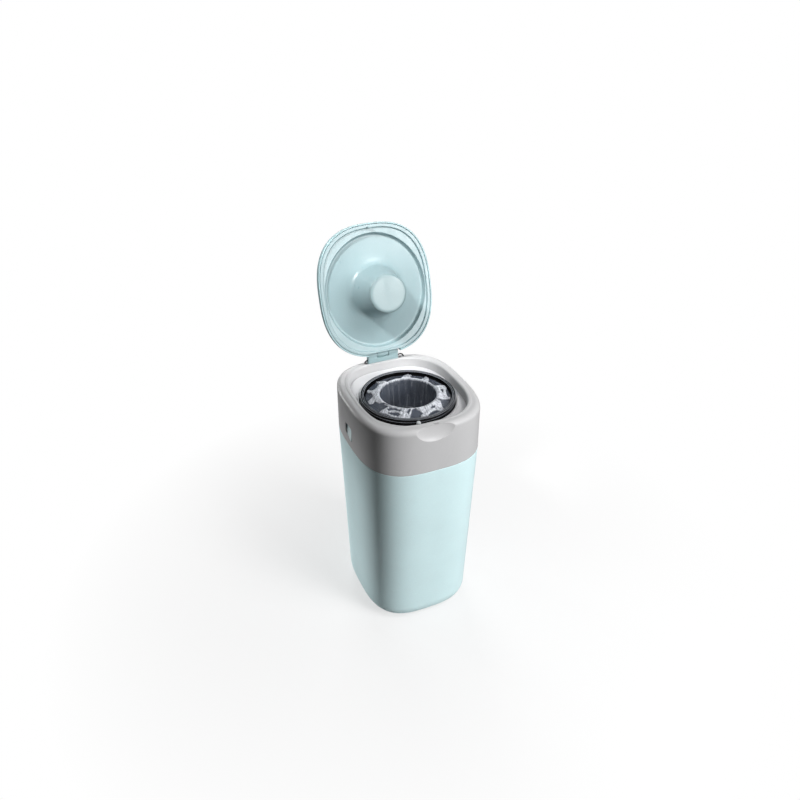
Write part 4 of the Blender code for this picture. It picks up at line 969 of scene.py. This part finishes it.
# Room
def make_floor():
    """A wide round floor, white to the camera far out, that keeps the object's shadow near it."""
    n, radii, under = 64, (0.4, 0.8, 1.6, 4.0, 12.0, 40.0), -0.0002
    verts = [(0, 0, under)]
    for r in radii:
        verts += [(r * math.cos(2 * math.pi * k / n), r * math.sin(2 * math.pi * k / n), under)
                  for k in range(n)]
    faces = [(0, 1 + k, 1 + (k + 1) % n) for k in range(n)]
    for j in range(len(radii) - 1):
        lo, hi = 1 + j * n, 1 + (j + 1) * n
        faces += [(lo + k, hi + k, hi + (k + 1) % n, lo + (k + 1) % n) for k in range(n)]
    mesh = bpy.data.meshes.new("floor")
    mesh.from_pydata(verts, [], faces)
    floor = link(bpy.data.objects.new("floor", mesh))
    mat, nodes, links, shader, where = material("floor", (0.8, 0.8, 0.8, 1.0))
    put(shader, Roughness=0.9, Specular_IOR_Level=0.1)
    camera_ray = nodes.new("ShaderNodeLightPath").outputs["Is Camera Ray"]
    far = nodes.new("ShaderNodeVectorMath")
    far.operation = "LENGTH"
    links.new(where, far.inputs[0])
    # The light that the floor throws back on the object falls off with distance
    bounce = nodes.new("ShaderNodeMapRange")
    put(bounce, From_Min=0.3, From_Max=0.9, To_Min=0.45, To_Max=0.06)
    links.new(far.outputs["Value"], bounce.inputs["Value"])
    even = nodes.new("ShaderNodeCombineColor")
    for channel in ("Red", "Green", "Blue"):
        links.new(bounce.outputs["Result"], even.inputs[channel])
    base = nodes.new("ShaderNodeMix")
    base.data_type = "RGBA"
    base.inputs["B"].default_value = (0.90, 0.90, 0.90, 1.0)
    links.new(even.outputs["Color"], base.inputs["A"])
    links.new(camera_ray, base.inputs["Factor"])
    links.new(base.outputs["Result"], shader.inputs["Base Color"])
    # To the camera it turns to plain white farther out
    glow = nodes.new("ShaderNodeEmission")
    put(glow, Color=(1, 1, 1, 1))
    reach = nodes.new("ShaderNodeMapRange")
    put(reach, From_Min=0.15, From_Max=0.75, To_Min=0.62, To_Max=1.0)
    links.new(far.outputs["Value"], reach.inputs["Value"])
    both = nodes.new("ShaderNodeMath")
    both.operation = "MULTIPLY"
    links.new(camera_ray, both.inputs[0])
    links.new(reach.outputs["Result"], both.inputs[1])
    mix = nodes.new("ShaderNodeMixShader")
    links.new(both.outputs["Value"], mix.inputs["Fac"])
    links.new(shader.outputs["BSDF"], mix.inputs[1])
    links.new(glow.outputs["Emission"], mix.inputs[2])
    links.new(mix.outputs["Shader"], nodes["Material Output"].inputs["Surface"])
    mesh.materials.append(mat)


def make_world(ambient):
    """White to the camera and in reflections, and a faint even light on everything."""
    world = bpy.data.worlds.new("studio")
    bpy.context.scene.world = world
    world.use_nodes = True
    nodes, links = world.node_tree.nodes, world.node_tree.links
    nodes.clear()
    path = nodes.new("ShaderNodeLightPath")
    seen = path.outputs["Is Camera Ray"]
    for kind in ("Is Transmission Ray", "Is Glossy Ray"):
        most = nodes.new("ShaderNodeMath")
        most.operation = "MAXIMUM"
        links.new(seen, most.inputs[0])
        links.new(path.outputs[kind], most.inputs[1])
        seen = most.outputs["Value"]
    mix = nodes.new("ShaderNodeMixShader")
    links.new(seen, mix.inputs["Fac"])
    for socket, strength in ((1, ambient), (2, 1.0)):
        light = nodes.new("ShaderNodeBackground")
        put(light, Color=(1.0, 1.0, 1.0, 1.0), Strength=strength)
        links.new(light.outputs["Background"], mix.inputs[socket])
    out = nodes.new("ShaderNodeOutputWorld")
    links.new(mix.outputs["Shader"], out.inputs["Surface"])


def aimed(name, data, at, aim):
    obj = link(bpy.data.objects.new(name, data))
    obj.location = at
    obj.rotation_mode = "QUATERNION"
    obj.rotation_quaternion = (Vector(aim) - Vector(at)).to_track_quat("-Z", "Y")


def lamp(name, at, aim, power, side):
    """A square soft lamp."""
    data = bpy.data.lights.new(name, "AREA")
    data.shape = "RECTANGLE"
    data.size, data.size_y, data.energy = side, side, power
    aimed(name, data, at, aim)


def spot(name, at, aim, power, wide, blend, soft):
    """A lamp that lights only a cone, wide degrees across."""
    data = bpy.data.lights.new(name, "SPOT")
    data.energy, data.spot_size, data.spot_blend = power, math.radians(wide), blend
    data.shadow_soft_size = soft
    aimed(name, data, at, aim)


make_floor()
make_world(0.03)
lamp("key", (1.03, -1.91, 1.20), (0.0, 0.0, 0.38), 45.0, 0.9)
lamp("top", (0.55, -0.85, 1.85), (0.0, 0.0, 0.45), 14.5, 0.5)
spot("side", (-1.15, 1.75, 0.10), (0.0, 0.0, 0.16), 190.0, 19.0, 0.6, 0.15)
lamp("back", (0.30, 1.70, 1.90), (0.0, 0.10, 0.50), 16.0, 0.8)
spot("fill", (-0.85, -0.25, 1.85), (0.0, 0.14, 0.64), 120.0, 13.0, 0.5, 0.12)
bpy.context.scene.view_settings.view_transform = "Standard"
